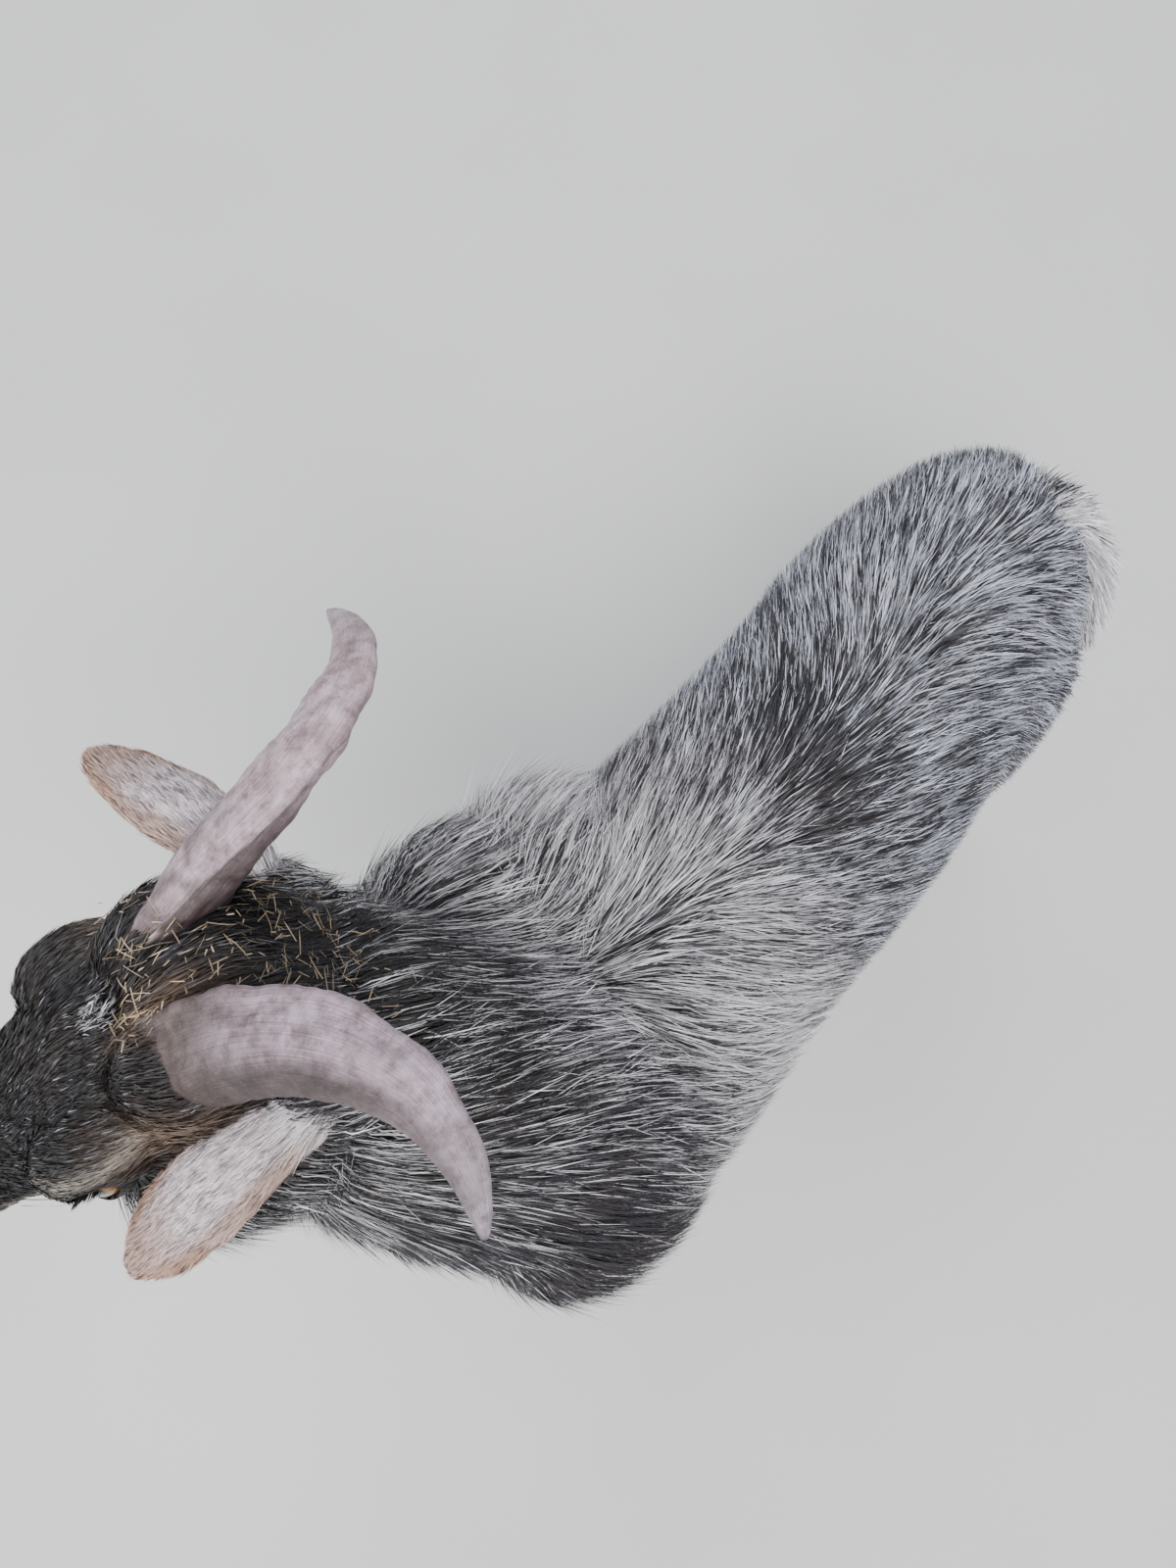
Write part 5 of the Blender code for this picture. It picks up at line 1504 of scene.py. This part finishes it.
def head_masks(points):
    """Shares of the lids and of the nose pad, both 0 to 1"""
    h = head_space(points)
    eye = np.linalg.norm(one_side(h) - np.array(EYE_CENTRE), axis=1)
    lid = blend(EYE_RADIUS + 0.0052 - eye, 0.0, 0.0022)
    nose = blend(h[:, 0], 0.1600, 0.1645) * blend(h[:, 2], -0.064, -0.058)
    return lid, nose


def skin_tint(obj):
    points = points_of(obj)
    share = head_presence(points)
    dark = mix_rows(body_dark(points) * 0.7, head_dark(points) * 0.8, share)
    lid, nose = head_masks(points)
    near = share * lid
    dark = mix_rows(dark, BLACK[None] * 0.8, 0.9 * near)
    dark = mix_rows(dark, NOSE[None], 0.9 * nose * share)
    gloss = np.clip(0.5 * near + 0.9 * nose * share, 0, 1)
    return dark, gloss


def head_presence(points):
    """1 on the skull and 0 on the body"""
    return 1.0 - neck_share(points)


# Lie, length and height of the coat

def along_surface(lie, normals):
    lie = lie - normals * row_dot(lie, normals)[:, None]
    return unit_rows(lie)


def body_lie(points, normals):
    x, y, z = points.T
    side = np.clip(y / 0.03, -1, 1)
    low = blend(0.50 - z, 0.02, 0.26)
    lie = np.zeros_like(points)
    lie[:, 0] = -(1.0 - 0.45 * low)
    lie[:, 1] = side * 0.40 * (1.0 - low)
    lie[:, 2] = -(0.10 + 0.85 * low) - 0.75 * blend(-0.26 - x, 0.0, 0.08)
    shoulder = blend(x, -0.12, 0.00) * blend(y, 0.0, 0.06) * blend(z, 0.34, 0.42)
    lie[:, 1] += 0.65 * shoulder
    lie = unit_rows(lie)
    neck = (blend(x, 0.00, 0.08) * blend(z, 0.36, 0.44))[:, None]
    lie = toward(lie, unit((-0.62, 0.46, -0.62)), neck)
    leg = blend(0.27 - z, 0.0, 0.05)[:, None]
    lie = toward(lie, np.array((-0.15, 0.0, -1.0)), leg)
    swirl = np.stack([ripple_field(points, 0.16, 31 + axis) for axis in range(3)], axis=1)
    lie = lie + swirl * (0.16 * (1 - leg))
    return along_surface(lie, normals)


def head_lie(points, normals):
    h = head_space(points)
    turn = head_turn()
    side = np.sign(h[:, 1]) * np.clip(np.abs(h[:, 1]) / 0.02, 0, 1)
    lie = np.zeros_like(points)
    lie[:, 0] = -1.0
    lie[:, 1] = 0.18 * side
    lie[:, 2] = -0.35 * blend(-0.02 - h[:, 2], 0.0, 0.04) - 0.55 * cheek_share(h)
    crown = spot(h, (0.0185, -0.0045, 0.006), (0.014, 0.012, 0.03))[:, None]
    lie = toward(lie, np.array((-0.7, 0.1, 0.7)), crown)
    mirrored = one_side(h)
    away = mirrored - np.array(EYE_CENTRE)
    near = np.exp(-(np.maximum(np.linalg.norm(away, axis=1) - EYE_RADIUS, 0) / 0.010) ** 2)
    away = unit_rows(away)
    away[:, 1] *= np.sign(h[:, 1])
    lie = toward(lie, away, 0.8 * near[:, None])
    lie = lie @ turn.T
    swirl = np.stack([ripple_field(points, 0.05, 61 + axis) for axis in range(3)], axis=1)
    lie = lie + swirl * 0.12
    neck = neck_share(points)[:, None]
    lie = toward(lie, np.array((-0.72, 0.35, -0.60)), neck)
    return along_surface(lie, normals)


def shoulder_tuft(points):
    """The fuller coat between the right shoulder and the neck"""
    return spot(points, (0.074, -0.080, 0.462), (0.050, 0.042, 0.054))


def low_leg(z):
    """1 on the lower legs and 0 above them"""
    return blend(0.235 - z, 0.0, 0.06)


def body_length(points, normals):
    x, z = points[:, 0], points[:, 2]
    front = blend(x, -0.10, 0.05) * blend(z, 0.30, 0.40)
    length = 0.037 + 0.022 * front
    length = length + 0.012 * shoulder_tuft(points)
    leg = blend(0.31 - z, 0.0, 0.07)
    length = toward(length, 0.026, leg)
    low = low_leg(z)
    length = toward(length, 0.0135, low)
    belly = blend(-normals[:, 2], 0.3, 0.8) * blend(0.34 - z, 0.0, 0.08) * (1 - low)
    return length * (1 - 0.25 * belly)


def body_height(points):
    depth = coat_depth(points)
    return depth * toward(0.64, 0.30, low_leg(points[:, 2])) + 0.020 * shoulder_tuft(points)


def head_length(points, normals):
    h = head_space(points)
    length = np.full(len(points), 0.0115)
    muzzle = blend(h[:, 0], 0.070, 0.120)
    length = toward(length, 0.0065, muzzle)
    crown = blend(0.012 - h[:, 0], 0.0, 0.02) * blend(h[:, 2], -0.035, -0.015)
    length = toward(length, 0.027, crown)
    length = length + 0.006 * star_share(h)
    length = toward(length, 0.036, cheek_share(h))
    for ear in EARS.values():
        length = length + 0.010 * spot(h, ear[0], EAR_TUFT)
    return toward(length, 0.056, neck_share(points))


def head_height(points):
    h = head_space(points)
    height = 0.0022 + 0.0065 * blend(0.012 - h[:, 0], 0.0, 0.02)
    height = height + 0.021 * cheek_share(h)
    for ear in EARS.values():
        height = height + 0.006 * spot(h, ear[0], EAR_TUFT)
    height = height + 0.008 * star_share(h)
    return toward(height, 0.019, neck_share(points))


def body_weight(points, normals):
    """Hair everywhere on the body but under the head and on the claws, closer on the legs"""
    z = points[:, 2]
    weight = blend(past_plane(head_space(points)), -0.012, 0.0)
    weight = weight * (1.0 + 0.9 * blend(0.24 - z, 0.0, 0.06))
    return weight * blend(z, 0.020, 0.026)


def head_weight(points, normals):
    """Hair on head and top of the neck, but not on lids, nose pad and line of the mouth"""
    h = head_space(points)
    lid, nose = head_masks(points)
    weight = (1 - lid) * (1 - nose) * (1 - blend(past_plane(h), 0.010, 0.022))
    mouth = blend(h[:, 0], 0.085, 0.10) * np.exp(-((h[:, 2] + 0.0660) / 0.0018) ** 2)
    return weight * (1 - 0.9 * mouth) * (1.0 + 1.6 * head_presence(points))


def hair_colours(silver_share, dark, rings, silver=SILVER):
    """Silver or dark hairs, duller at the root"""
    count = len(dark)
    pale = (RNG.random(count) < silver_share)[:, None]
    strength = RNG.uniform(0.45, 1.25, count)
    between = RNG.random(count) < 0.22
    silver = np.broadcast_to(silver, (count, 3)) * strength[:, None]
    silver[between] = silver[between] * 0.5 + GREY * 0.3
    plain = dark * RNG.uniform(0.6, 1.35, count)[:, None]
    tip = np.where(pale, silver, plain)
    root = np.where(pale, silver * 0.36, plain * 0.6)
    share = np.clip((np.linspace(0, 1, rings) - 0.05) / 0.45, 0, 1)[None, :, None]
    return toward(root[:, None], tip[:, None], share)


def even(value):
    """The same value at every root"""
    return lambda roots: np.full(len(roots), value)


def grow_layer(name, surface, guides, count, weight, height, width, colours, material, unwrap,
               reach, clump, wander, layer, roll, segments=2):
    """One layer of coat: reach, clump, wander and layer say how its hairs follow the guides"""
    count = int(count * COUNT_SHARE)
    roots, normals = surface.sample(count, weight)
    picks, _ = guides.near(roots, 1)
    local = guides.length[picks[:, 0]]
    reaches = RNG.uniform(*reach, count)
    clumps = clump * RNG.uniform(0.6, 1.3, count)
    wanders = local * (RNG.random(count) ** 2 * 1.9 + 0.1) * wander
    layers = RNG.uniform(*layer, count)
    centres, facing, ts = hair_paths(guides, roots, normals, segments, height(roots),
                                     reaches, clumps, wanders, layers)
    widths = hair_widths(ts, width(roots) * RNG.uniform(0.75, 1.25, count))
    tint = colours(roots, segments + 1)
    hair_pieces(name, centres, facing, widths, tint, roots, material, unwrap, roll)


def coat_body(surface, material):
    guides = Guides(surface, BODY_GUIDES, body_weight, body_length, body_lie)
    unwrap = unwrap_on(0, 1, 2, 3, 4, 5)

    def under(roots, rings):
        return hair_colours(np.zeros(len(roots)), body_dark(roots) * 0.8, rings)

    def guard(roots, rings):
        return hair_colours(body_silver(roots), body_dark(roots), rings, silver_tone(roots))

    def wide(roots):
        return toward(*UNDER_WIDTHS, low_leg(roots[:, 2]))

    def thin(roots):
        return toward(*GUARD_WIDTHS, low_leg(roots[:, 2]))

    grow_layer("coat_under", surface, guides, BODY_UNDER, body_weight, body_height, wide, under,
               material, unwrap, reach=(0.55, 0.85), clump=0.35, wander=0.05, layer=(0.35, 0.85), roll=0.35)
    grow_layer("coat_guard", surface, guides, BODY_GUARD, body_weight, body_height, thin, guard,
               material, unwrap, reach=(0.6, 1.0), clump=0.38, wander=0.16, layer=(0.55, 1.15), roll=0.7)


def coat_head(surface, material):
    guides = Guides(surface, HEAD_GUIDES, head_weight, head_length, head_lie)

    def colours(roots, rings):
        silver = toward(head_silver(roots), body_silver(roots), neck_share(roots))
        return hair_colours(silver, head_dark(roots), rings, head_tone(roots))

    def width(roots):
        muzzle = blend(head_space(roots)[:, 0], 0.060, 0.12)
        return toward(FACE_WIDTH - MUZZLE_THINNER * muzzle, NECK_HAIR_WIDTH, neck_share(roots))

    grow_layer("coat_head", surface, guides, HEAD_HAIRS, head_weight, head_height, width, colours,
               material, unwrap_on(6, 1), reach=(0.6, 1.0), clump=0.30, wander=0.16, layer=(0.4, 1.1),
               roll=0.5)


def coat_ear(number, side, surface, material):
    ear = EARS[side]
    base, direction, cup, _ = ear_frame(ear)
    along = head_turn() @ direction
    cup_out = head_turn() @ cup

    def lie(points, normals):
        return along_surface(np.tile(along, (len(points), 1)), normals)

    def length(points, normals):
        inner = blend(normals @ cup_out, 0.1, 0.6)
        near = np.linalg.norm(head_space(points) - base, axis=1)
        return toward(0.0075, 0.013, inner) + 0.011 * blend(0.045 - near, 0.0, 0.03)

    def weight(points, normals):
        return 1.0 - 0.72 * blend(normals @ cup_out, 0.0, 0.5)

    def colours(roots, rings):
        count = len(roots)
        tone = ear_colours(roots, ear, np.zeros(count)) * RNG.uniform(0.8, 1.2, count)[:, None]
        fleck = RNG.random(count) < 0.17
        tone[fleck] = tone[fleck] * 0.35
        return tone[:, None] * np.linspace(0.75, 1.05, rings)[None, :, None]

    guides = Guides(surface, EAR_GUIDES, weight, length, lie)
    grow_layer("coat_ear_" + side, surface, guides, EAR_HAIRS, weight, even(0.0020), even(EAR_HAIR_WIDTH),
               colours, material, unwrap_on(8 + number), reach=(0.6, 1.0), clump=0.2, wander=0.16,
               layer=(0.4, 1.4), roll=0.5)


def coat_tail(surface, material):
    rows = spline(TAIL, 40)
    centres = rows[:, :3]
    tangents = unit_rows(np.gradient(centres, axis=0))

    def sideways(points):
        """Nearest place along the tail, its tangent, the share to one side and the way across"""
        index = np.linalg.norm(points[:, None] - centres[None], axis=2).argmin(axis=1)
        tangent = tangents[index]
        across = unit_rows(np.cross(tangent, np.array((-1.0, 0.15, 0.0))[None]))
        return index, tangent, row_dot(points - centres[index], across) / rows[index, 3], across

    def lie(points, normals):
        _, tangent, side, across = sideways(points)
        heading = tangent + across * (side * 0.55)[:, None] + normals * 0.20
        heading[:, 2] -= 0.10
        return unit_rows(heading)

    def length(points, normals):
        index, _, side, _ = sideways(points)
        return 0.030 + 0.012 * np.clip(np.abs(side), 0, 1) + 0.010 * (index / 40.0)

    def weight(points, normals):
        return np.ones(len(points))

    def colours(roots, rings):
        index, _, side, _ = sideways(roots)
        share = 0.30 + 0.68 * blend(np.abs(side), 0.15, 0.55)
        low = blend(index / 40.0, 0.70, 0.90)
        dark = mix_rows(np.tile(SLATE * 0.7, (len(roots), 1)), BROWN[None] * 1.2, low)
        return hair_colours(share * (1 - 0.6 * low), dark, rings, SILVER * 1.12)

    guides = Guides(surface, TAIL_GUIDES, weight, length, lie, follow=False)
    grow_layer("coat_tail", surface, guides, TAIL_HAIRS, weight, even(0.004), even(TAIL_HAIR_WIDTH), colours,
               material, unwrap_on(7), reach=(0.55, 1.0), clump=0.35, wander=0.16, layer=(0.3, 1.2),
               roll=0.6, segments=4)


def world_rows(h):
    """Places in the head's frame, moved to where the head stands"""
    matrix = np.array(head_matrix())
    return h @ matrix[:3, :3].T + matrix[:3, 3]


def hanging_hairs(name, roots, headings, lengths, fall, width, tint, material):
    """Hairs that set off along a heading and bend towards the ground"""
    count, rings, _ = tint.shape
    centres = np.empty((count, rings, 3))
    place = roots
    heading = unit_rows(headings)
    for step in range(rings):
        centres[:, step] = place
        place = place + heading * (lengths / (rings - 1))[:, None]
        heading = unit_rows(heading + np.array((0.0, 0.0, -1.0)) * fall)
    normals = np.tile(unit_rows(RNG.normal(size=(count, 3)))[:, None], (1, rings, 1))
    widths = hair_widths(np.linspace(0, 1, rings), width)
    hair_pieces(name, centres, normals, widths, tint, roots, material, unwrap_on(6), 0.5)


def coat_beard(material):
    count = int(BEARD_HAIRS * COUNT_SHARE)
    along = RNG.uniform(0.104, 0.150, count)
    side = RNG.normal(0, 0.0065, count)
    h = np.stack([along, side, np.full(count, -0.0815)], axis=1)
    h[:, 2] += 0.10 * np.abs(side) + 0.05 * np.abs(along - 0.13)
    down = head_turn() @ np.array((-0.25, 0.0, -1.0))
    headings = np.tile(down, (count, 1)) + RNG.normal(0, 0.10, (count, 3))
    middle = 1 - 0.45 * np.clip(np.abs(along - 0.128) / 0.022, 0, 1)
    lengths = 0.056 * middle * RNG.uniform(0.6, 1.05, count)
    tint = hair_colours(np.full(count, 0.30), np.tile(BLACK * 1.3, (count, 1)), 6)
    widths = RNG.uniform(0.0005, 0.0009, count)
    hanging_hairs("coat_beard", world_rows(h), headings, lengths, 0.35, widths, tint, material)


def lashes(material):
    """A short row of hairs on each upper lid"""
    rows = []
    headings = []
    for sign in (1, -1):
        out, along, up = eye_frame(sign)
        up = up if up[2] > 0 else -up
        for value in np.linspace(-0.85, 0.85, 46):
            rise = 0.62 * math.sqrt(max(0.0, 1 - value * value)) * (1.0 - 0.30 * value * value)
            edge = unit(out + along * value * 0.80 + up * rise * 0.85)
            rows.append(eye_place(sign) + edge * (EYE_RADIUS + LID * 0.9))
            headings.append(head_turn() @ unit(out * 0.9 + up * 0.25 + along * value * 0.4))
    count = len(rows)
    lengths = 0.0075 * RNG.uniform(0.7, 1.1, count)
    tint = np.tile(BLACK * 0.6, (count, 4, 1))
    hanging_hairs("lashes", world_rows(np.array(rows)), np.array(headings), lengths, 0.12,
                  np.full(count, LASH_WIDTH), tint, material)


def straw_bits(head, body, material):
    """Bits of hay caught in the coat behind the horns"""
    places, normals = head.sample(STRAW_BITS * 9, head_weight)
    h = head_space(places)
    fits = (normals[:, 2] > 0.1) & (h[:, 0] > HAY_X[0]) & (h[:, 0] < HAY_X[1])
    fits &= (h[:, 1] > HAY_Y[0]) & (h[:, 1] < HAY_Y[1])
    more, more_normals = body.sample(STRAW_BITS * 26, body_weight)
    near = (more_normals[:, 2] > 0.1) & (more[:, 2] > HAY_NECK_HEIGHT) & (more[:, 1] < HAY_NECK_SIDE)
    places = np.concatenate([places[fits], more[near][:HAY_NECK_BITS]])[:STRAW_BITS]
    normals = np.concatenate([normals[fits], more_normals[near][:HAY_NECK_BITS]])[:STRAW_BITS]
    count = len(places)
    heading = RNG.normal(size=(count, 3))
    heading = unit_rows(heading - normals * row_dot(heading, normals)[:, None] * 0.9)
    lengths = 0.003 + 0.010 * RNG.random(count) ** 2
    ts = np.linspace(-0.5, 0.5, 4)
    curve = RNG.normal(0, 0.10, (count, 3))
    lift = RNG.uniform(0.006, 0.015, count)
    middle = (places + normals * lift[:, None])[:, None]
    centres = middle + heading[:, None] * (lengths[:, None] * ts[None])[:, :, None]
    centres = centres + curve[:, None] * (lengths[:, None] * ts[None] ** 2)[:, :, None]
    widths = np.tile(RNG.uniform(0.0003, 0.0006, count)[:, None], (1, 4))
    tint = np.tile(STRAW, (count, 4, 1)) * RNG.uniform(0.22, 0.92, count)[:, None, None]
    facing = np.tile(normals[:, None], (1, 4, 1))
    hair_pieces("hay", centres, facing, widths, tint, places, material, unwrap_on(6, 1), 0.9)


# Horns, eyes and hooves

def horn_shares(sign, along, around, turned, normals):
    """Shares of the shade painted on the horn's underside and of the ridge, on the left horn or the right"""
    if sign > 0:
        # Left horn: painted shade on the side away from the keel, weaker towards the tip
        under = blend(-np.cos(around), -0.30, 0.35) * (1 - 0.5 * blend(along, 0.55, 0.95))
        return under, np.exp(-(turned / 0.26) ** 2) * (1 - blend(along, 0.45, 0.85))
    # Right horn: painted shade where the surface faces the animal's left, gone towards the tip
    inward = normals @ unit((-0.1, 1.0, -0.1)) + 0.05 - 1.1 * blend(along, 0.22, 0.56)
    under = blend(inward, 0.0, 0.12) * (1 - 0.6 * blend(along, 0.30, 0.50))
    ridge = np.exp(-(inward / 0.18) ** 2) * blend(normals[:, 2], 0.0, 0.3)
    return under, ridge * (1 - blend(along, 0.32, 0.52))


def horn_tint(sign, along, under, rows):
    """Colours of a horn: foot, shaft and tip, rough patches, and shade painted on its underside"""
    foot, shaft, tip, start = HORN_TONES[sign]
    tint = mix_rows(np.tile(foot, (len(along), 1)), shaft[None], blend(along, start, start + 0.26))
    tint = mix_rows(tint, tip[None], blend(along, 0.78, 1.0))
    rough = np.clip(0.45 + 0.9 * ripple_field(rows, 0.011, 93), 0, 1) * (1 - blend(along, 0.10, 0.52))
    tint = mix_rows(tint, HORN_ROUGH_AND_SHADE_DARK[None] * 1.3, 0.62 * rough)
    # Painted shade: the horn's underside darkened by the share under
    return mix_rows(tint, HORN_ROUGH_AND_SHADE_DARK[None], 0.86 * under)


def vertex_map(obj, name, values):
    """A map with one place for each vertex"""
    uv = obj.data.uv_layers.new(name=name)
    loops = np.empty(len(obj.data.loops), np.int32)
    obj.data.loops.foreach_get("vertex_index", loops)
    uv.uv.foreach_set("vector", values[loops].astype(np.float32).ravel())


def fine_horn(side, sign, material):
    """A horn with growth rings, lumps, a ridge and a hollow beside it; the right one has a spur"""
    horn = build_horn("horn_fine_" + side, sign)
    along = np.concatenate([np.repeat(horn_steps(HORN_RINGS), HORN_SIDES), (0.0, 1.0)])
    angle = np.concatenate([np.tile(np.arange(HORN_SIDES) / HORN_SIDES, HORN_RINGS), (0.0, 0.0)])
    around = 2 * math.pi * angle
    twist = 0.0 if sign > 0 else 0.95 * (1 - blend(along, 0.25, 0.70))
    turned = np.mod(around - twist + math.pi, 2 * math.pi) - math.pi
    transform(horn, head_matrix())
    rows = points_of(horn)
    normals = vertex_normals(horn)
    # under is the share of shade painted into the horn's colour, ridge the share of the raised ridge
    under, ridge = horn_shares(sign, along, around, turned, normals)
    colour_points(horn, horn_tint(sign, along, under, rows))
    wave = np.sin(along * 150.0 + 1.3 * np.sin(along * 37.0)) * (1 - blend(along, 0.6, 1.0))
    lumps = ripple_field(rows, 0.022, 91) * (1 - blend(along, 0.75, 1.0))
    hollow = np.exp(-((turned + 0.75) / 0.40) ** 2) * (1 - blend(along, 0.45, 0.85))
    height = 0.00018 * wave + 0.0009 * lumps + 0.0028 * ridge - 0.0014 * hollow
    if sign < 0:
        spur = np.exp(-(turned / 0.34) ** 2) * (1 - blend(along, 0.02, 0.22))
        height = height + 0.012 * spur
        rows = rows + np.array((0.004, 0.012, 0.002)) * spur[:, None]
    set_points(horn, rows + normals * height[:, None])
    vertex_map(horn, "Growth", np.stack([np.abs(angle * 2 - 1), along], axis=1))
    horn.data.transform(Matrix.Translation(OFFSET))
    smooth(horn)
    horn.data.materials.append(material)
    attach(horn, "root")
    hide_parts("horn_" + side)


def fine_eye(side, sign, material):
    centre = eye_place(sign)
    eye = ball("eye_fine_" + side, centre, (EYE_RADIUS * 0.995,) * 3, 0.0, 64, 40)
    out, along, up = eye_frame(sign)
    away = points_of(eye) - centre
    front = away @ out / EYE_RADIUS
    swell = 1.0 + 0.035 * blend(front, 0.72, 0.95)
    set_points(eye, centre + away * swell[:, None])
    flat = np.stack([away @ along, away @ up], axis=1) / EYE_RADIUS / 2 + 0.5
    flat[front < 0] = (0.99, 0.99)
    vertex_map(eye, "Gaze", flat)
    transform(eye, Matrix.Translation(OFFSET) @ head_matrix())
    smooth(eye)
    eye.data.materials.append(material)
    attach(eye, "root")
    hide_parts("eye_" + side)


def fine_claws(material):
    for leg in LEGS:
        x, y = foot_centre(leg)
        kind, side = leg.split("_")
        sign = LEGS[leg][3]
        for claw in (1, -1):
            place = "outer" if claw * sign > 0 else "inner"
            name = f"{kind.replace('leg', 'claw')}_{side}_{place}"
            obj = build_claw(name + "_fine", x, y, claw)
            modifier = obj.modifiers.new("edge", "BEVEL")
            modifier.width = 0.0008
            modifier.segments = 2
            settle(obj)
            obj.data.transform(Matrix.Translation(OFFSET))
            smooth(obj)
            obj.data.materials.append(material)
            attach(obj, "root")
            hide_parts(name)


# Room, light and camera

def make_floor():
    half = FLOOR_HALF
    corners = [(-half, -half, 0), (half, -half, 0), (half, half, 0), (-half, half, 0)]
    floor = mesh_object("floor", corners, [(0, 1, 2, 3)])
    net = Net("floor")
    cloud = net.ramp(net.noise(3.0, 2.0), ((0.3, (0.60, 0.60, 0.59)), (0.7, (0.64, 0.64, 0.63))))
    net.feed("Base Color", cloud)
    net.feed("Roughness", 0.9)
    floor.data.materials.append(net.material)


def area_light(name, place, target, size, power, colour):
    data = bpy.data.lights.new(name, "AREA")
    data.shape = "DISK"
    data.size = size
    data.energy = power
    data.color = colour
    obj = new_object(name, data)
    obj.location = place
    obj.rotation_euler = (Vector(target) - Vector(place)).to_track_quat("-Z", "Y").to_euler()


def make_light():
    for row in LIGHTS:
        area_light(*row)
    world = bpy.data.worlds.new("room")
    bpy.context.scene.world = world
    world.use_nodes = True
    back = world.node_tree.nodes["Background"]
    back.inputs["Color"].default_value = ROOM_COLOUR
    back.inputs["Strength"].default_value = ROOM_STRENGTH


def make_camera():
    data = bpy.data.cameras.new("camera")
    data.sensor_width = SENSOR
    data.sensor_fit = "AUTO"
    data.lens = SENSOR * FOCAL_SHARE
    obj = new_object("camera", data)
    place = Vector(CAMERA_PLACE) + Vector((OFFSET[0], OFFSET[1], 0.0))
    obj.matrix_world = Matrix.Translation(place) @ Matrix(CAMERA_TURN).to_4x4()
    bpy.context.scene.camera = obj


# Everything together

def measure_offset():
    """From the animal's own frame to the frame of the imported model"""
    low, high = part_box("eye_left")
    middle = (np.asarray(low, float) + np.asarray(high, float)) / 2
    centre = np.array(head_matrix() @ Vector(eye_place(1)))
    offset = middle - centre
    offset[2] = 0.0
    return offset


def grow_coat(body, head, tail, ears):
    """All hairs, from the undercoat to the bits of hay"""
    coat = coat_material("coat", 0.52)
    ear_coat = coat_material("ear_coat", 0.7)
    body = Surface(body)
    head = Surface(head)
    coat_body(body, coat)
    coat_head(head, coat)
    for number, (side, ear) in enumerate(ears.items()):
        coat_ear(number, side, Surface(ear), ear_coat)
    coat_tail(Surface(tail), coat)
    coat_beard(coat)
    lashes(coat)
    straw_bits(head, body, coat)


def make_skin(body, head, tail, ears):
    """One coloured skin in place of all nodes of flesh"""
    for obj in (body, head, tail):
        colour_points(obj, *skin_tint(obj))
    for side, obj in ears.items():
        cup = ear_frame(EARS[side])[2]
        facing = vertex_normals(obj) @ (head_turn() @ cup)
        tint = ear_colours(points_of(obj), EARS[side], blend(facing, 0.1, 0.5)) * 0.75
        colour_points(obj, tint, np.full(len(tint), 0.15))
    skin = join("skin", [body, head, tail, *ears.values()])
    skin.data.transform(Matrix.Translation(OFFSET))
    smooth(skin)
    skin.data.materials.append(skin_material())
    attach(skin, "root")
    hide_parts(*FLESH_NODES)


def make_goat():
    body = body_skin()
    head = skin_of_head(body)
    grow_body(body)
    head_details(head)
    fold_skin(head)
    transform(head, head_matrix())
    ears = {side: build_ear("ear_skin_" + side, ear, 46, 23) for side, ear in EARS.items()}
    for ear in ears.values():
        transform(ear, head_matrix())
    tail = tube("tail_skin", [(*row[:3], *(0.6 * size for size in row[3:])) for row in TAIL], 40, 24)
    grow_coat(body, head, tail, ears)
    make_skin(body, head, tail, ears)
    horn = horn_material()
    eye = eye_material()
    for side, sign in (("left", 1), ("right", -1)):
        fine_horn(side, sign, horn)
        fine_eye(side, sign, eye)
    fine_claws(hoof_material())


OFFSET = measure_offset()
make_goat()
make_floor()
make_light()
make_camera()
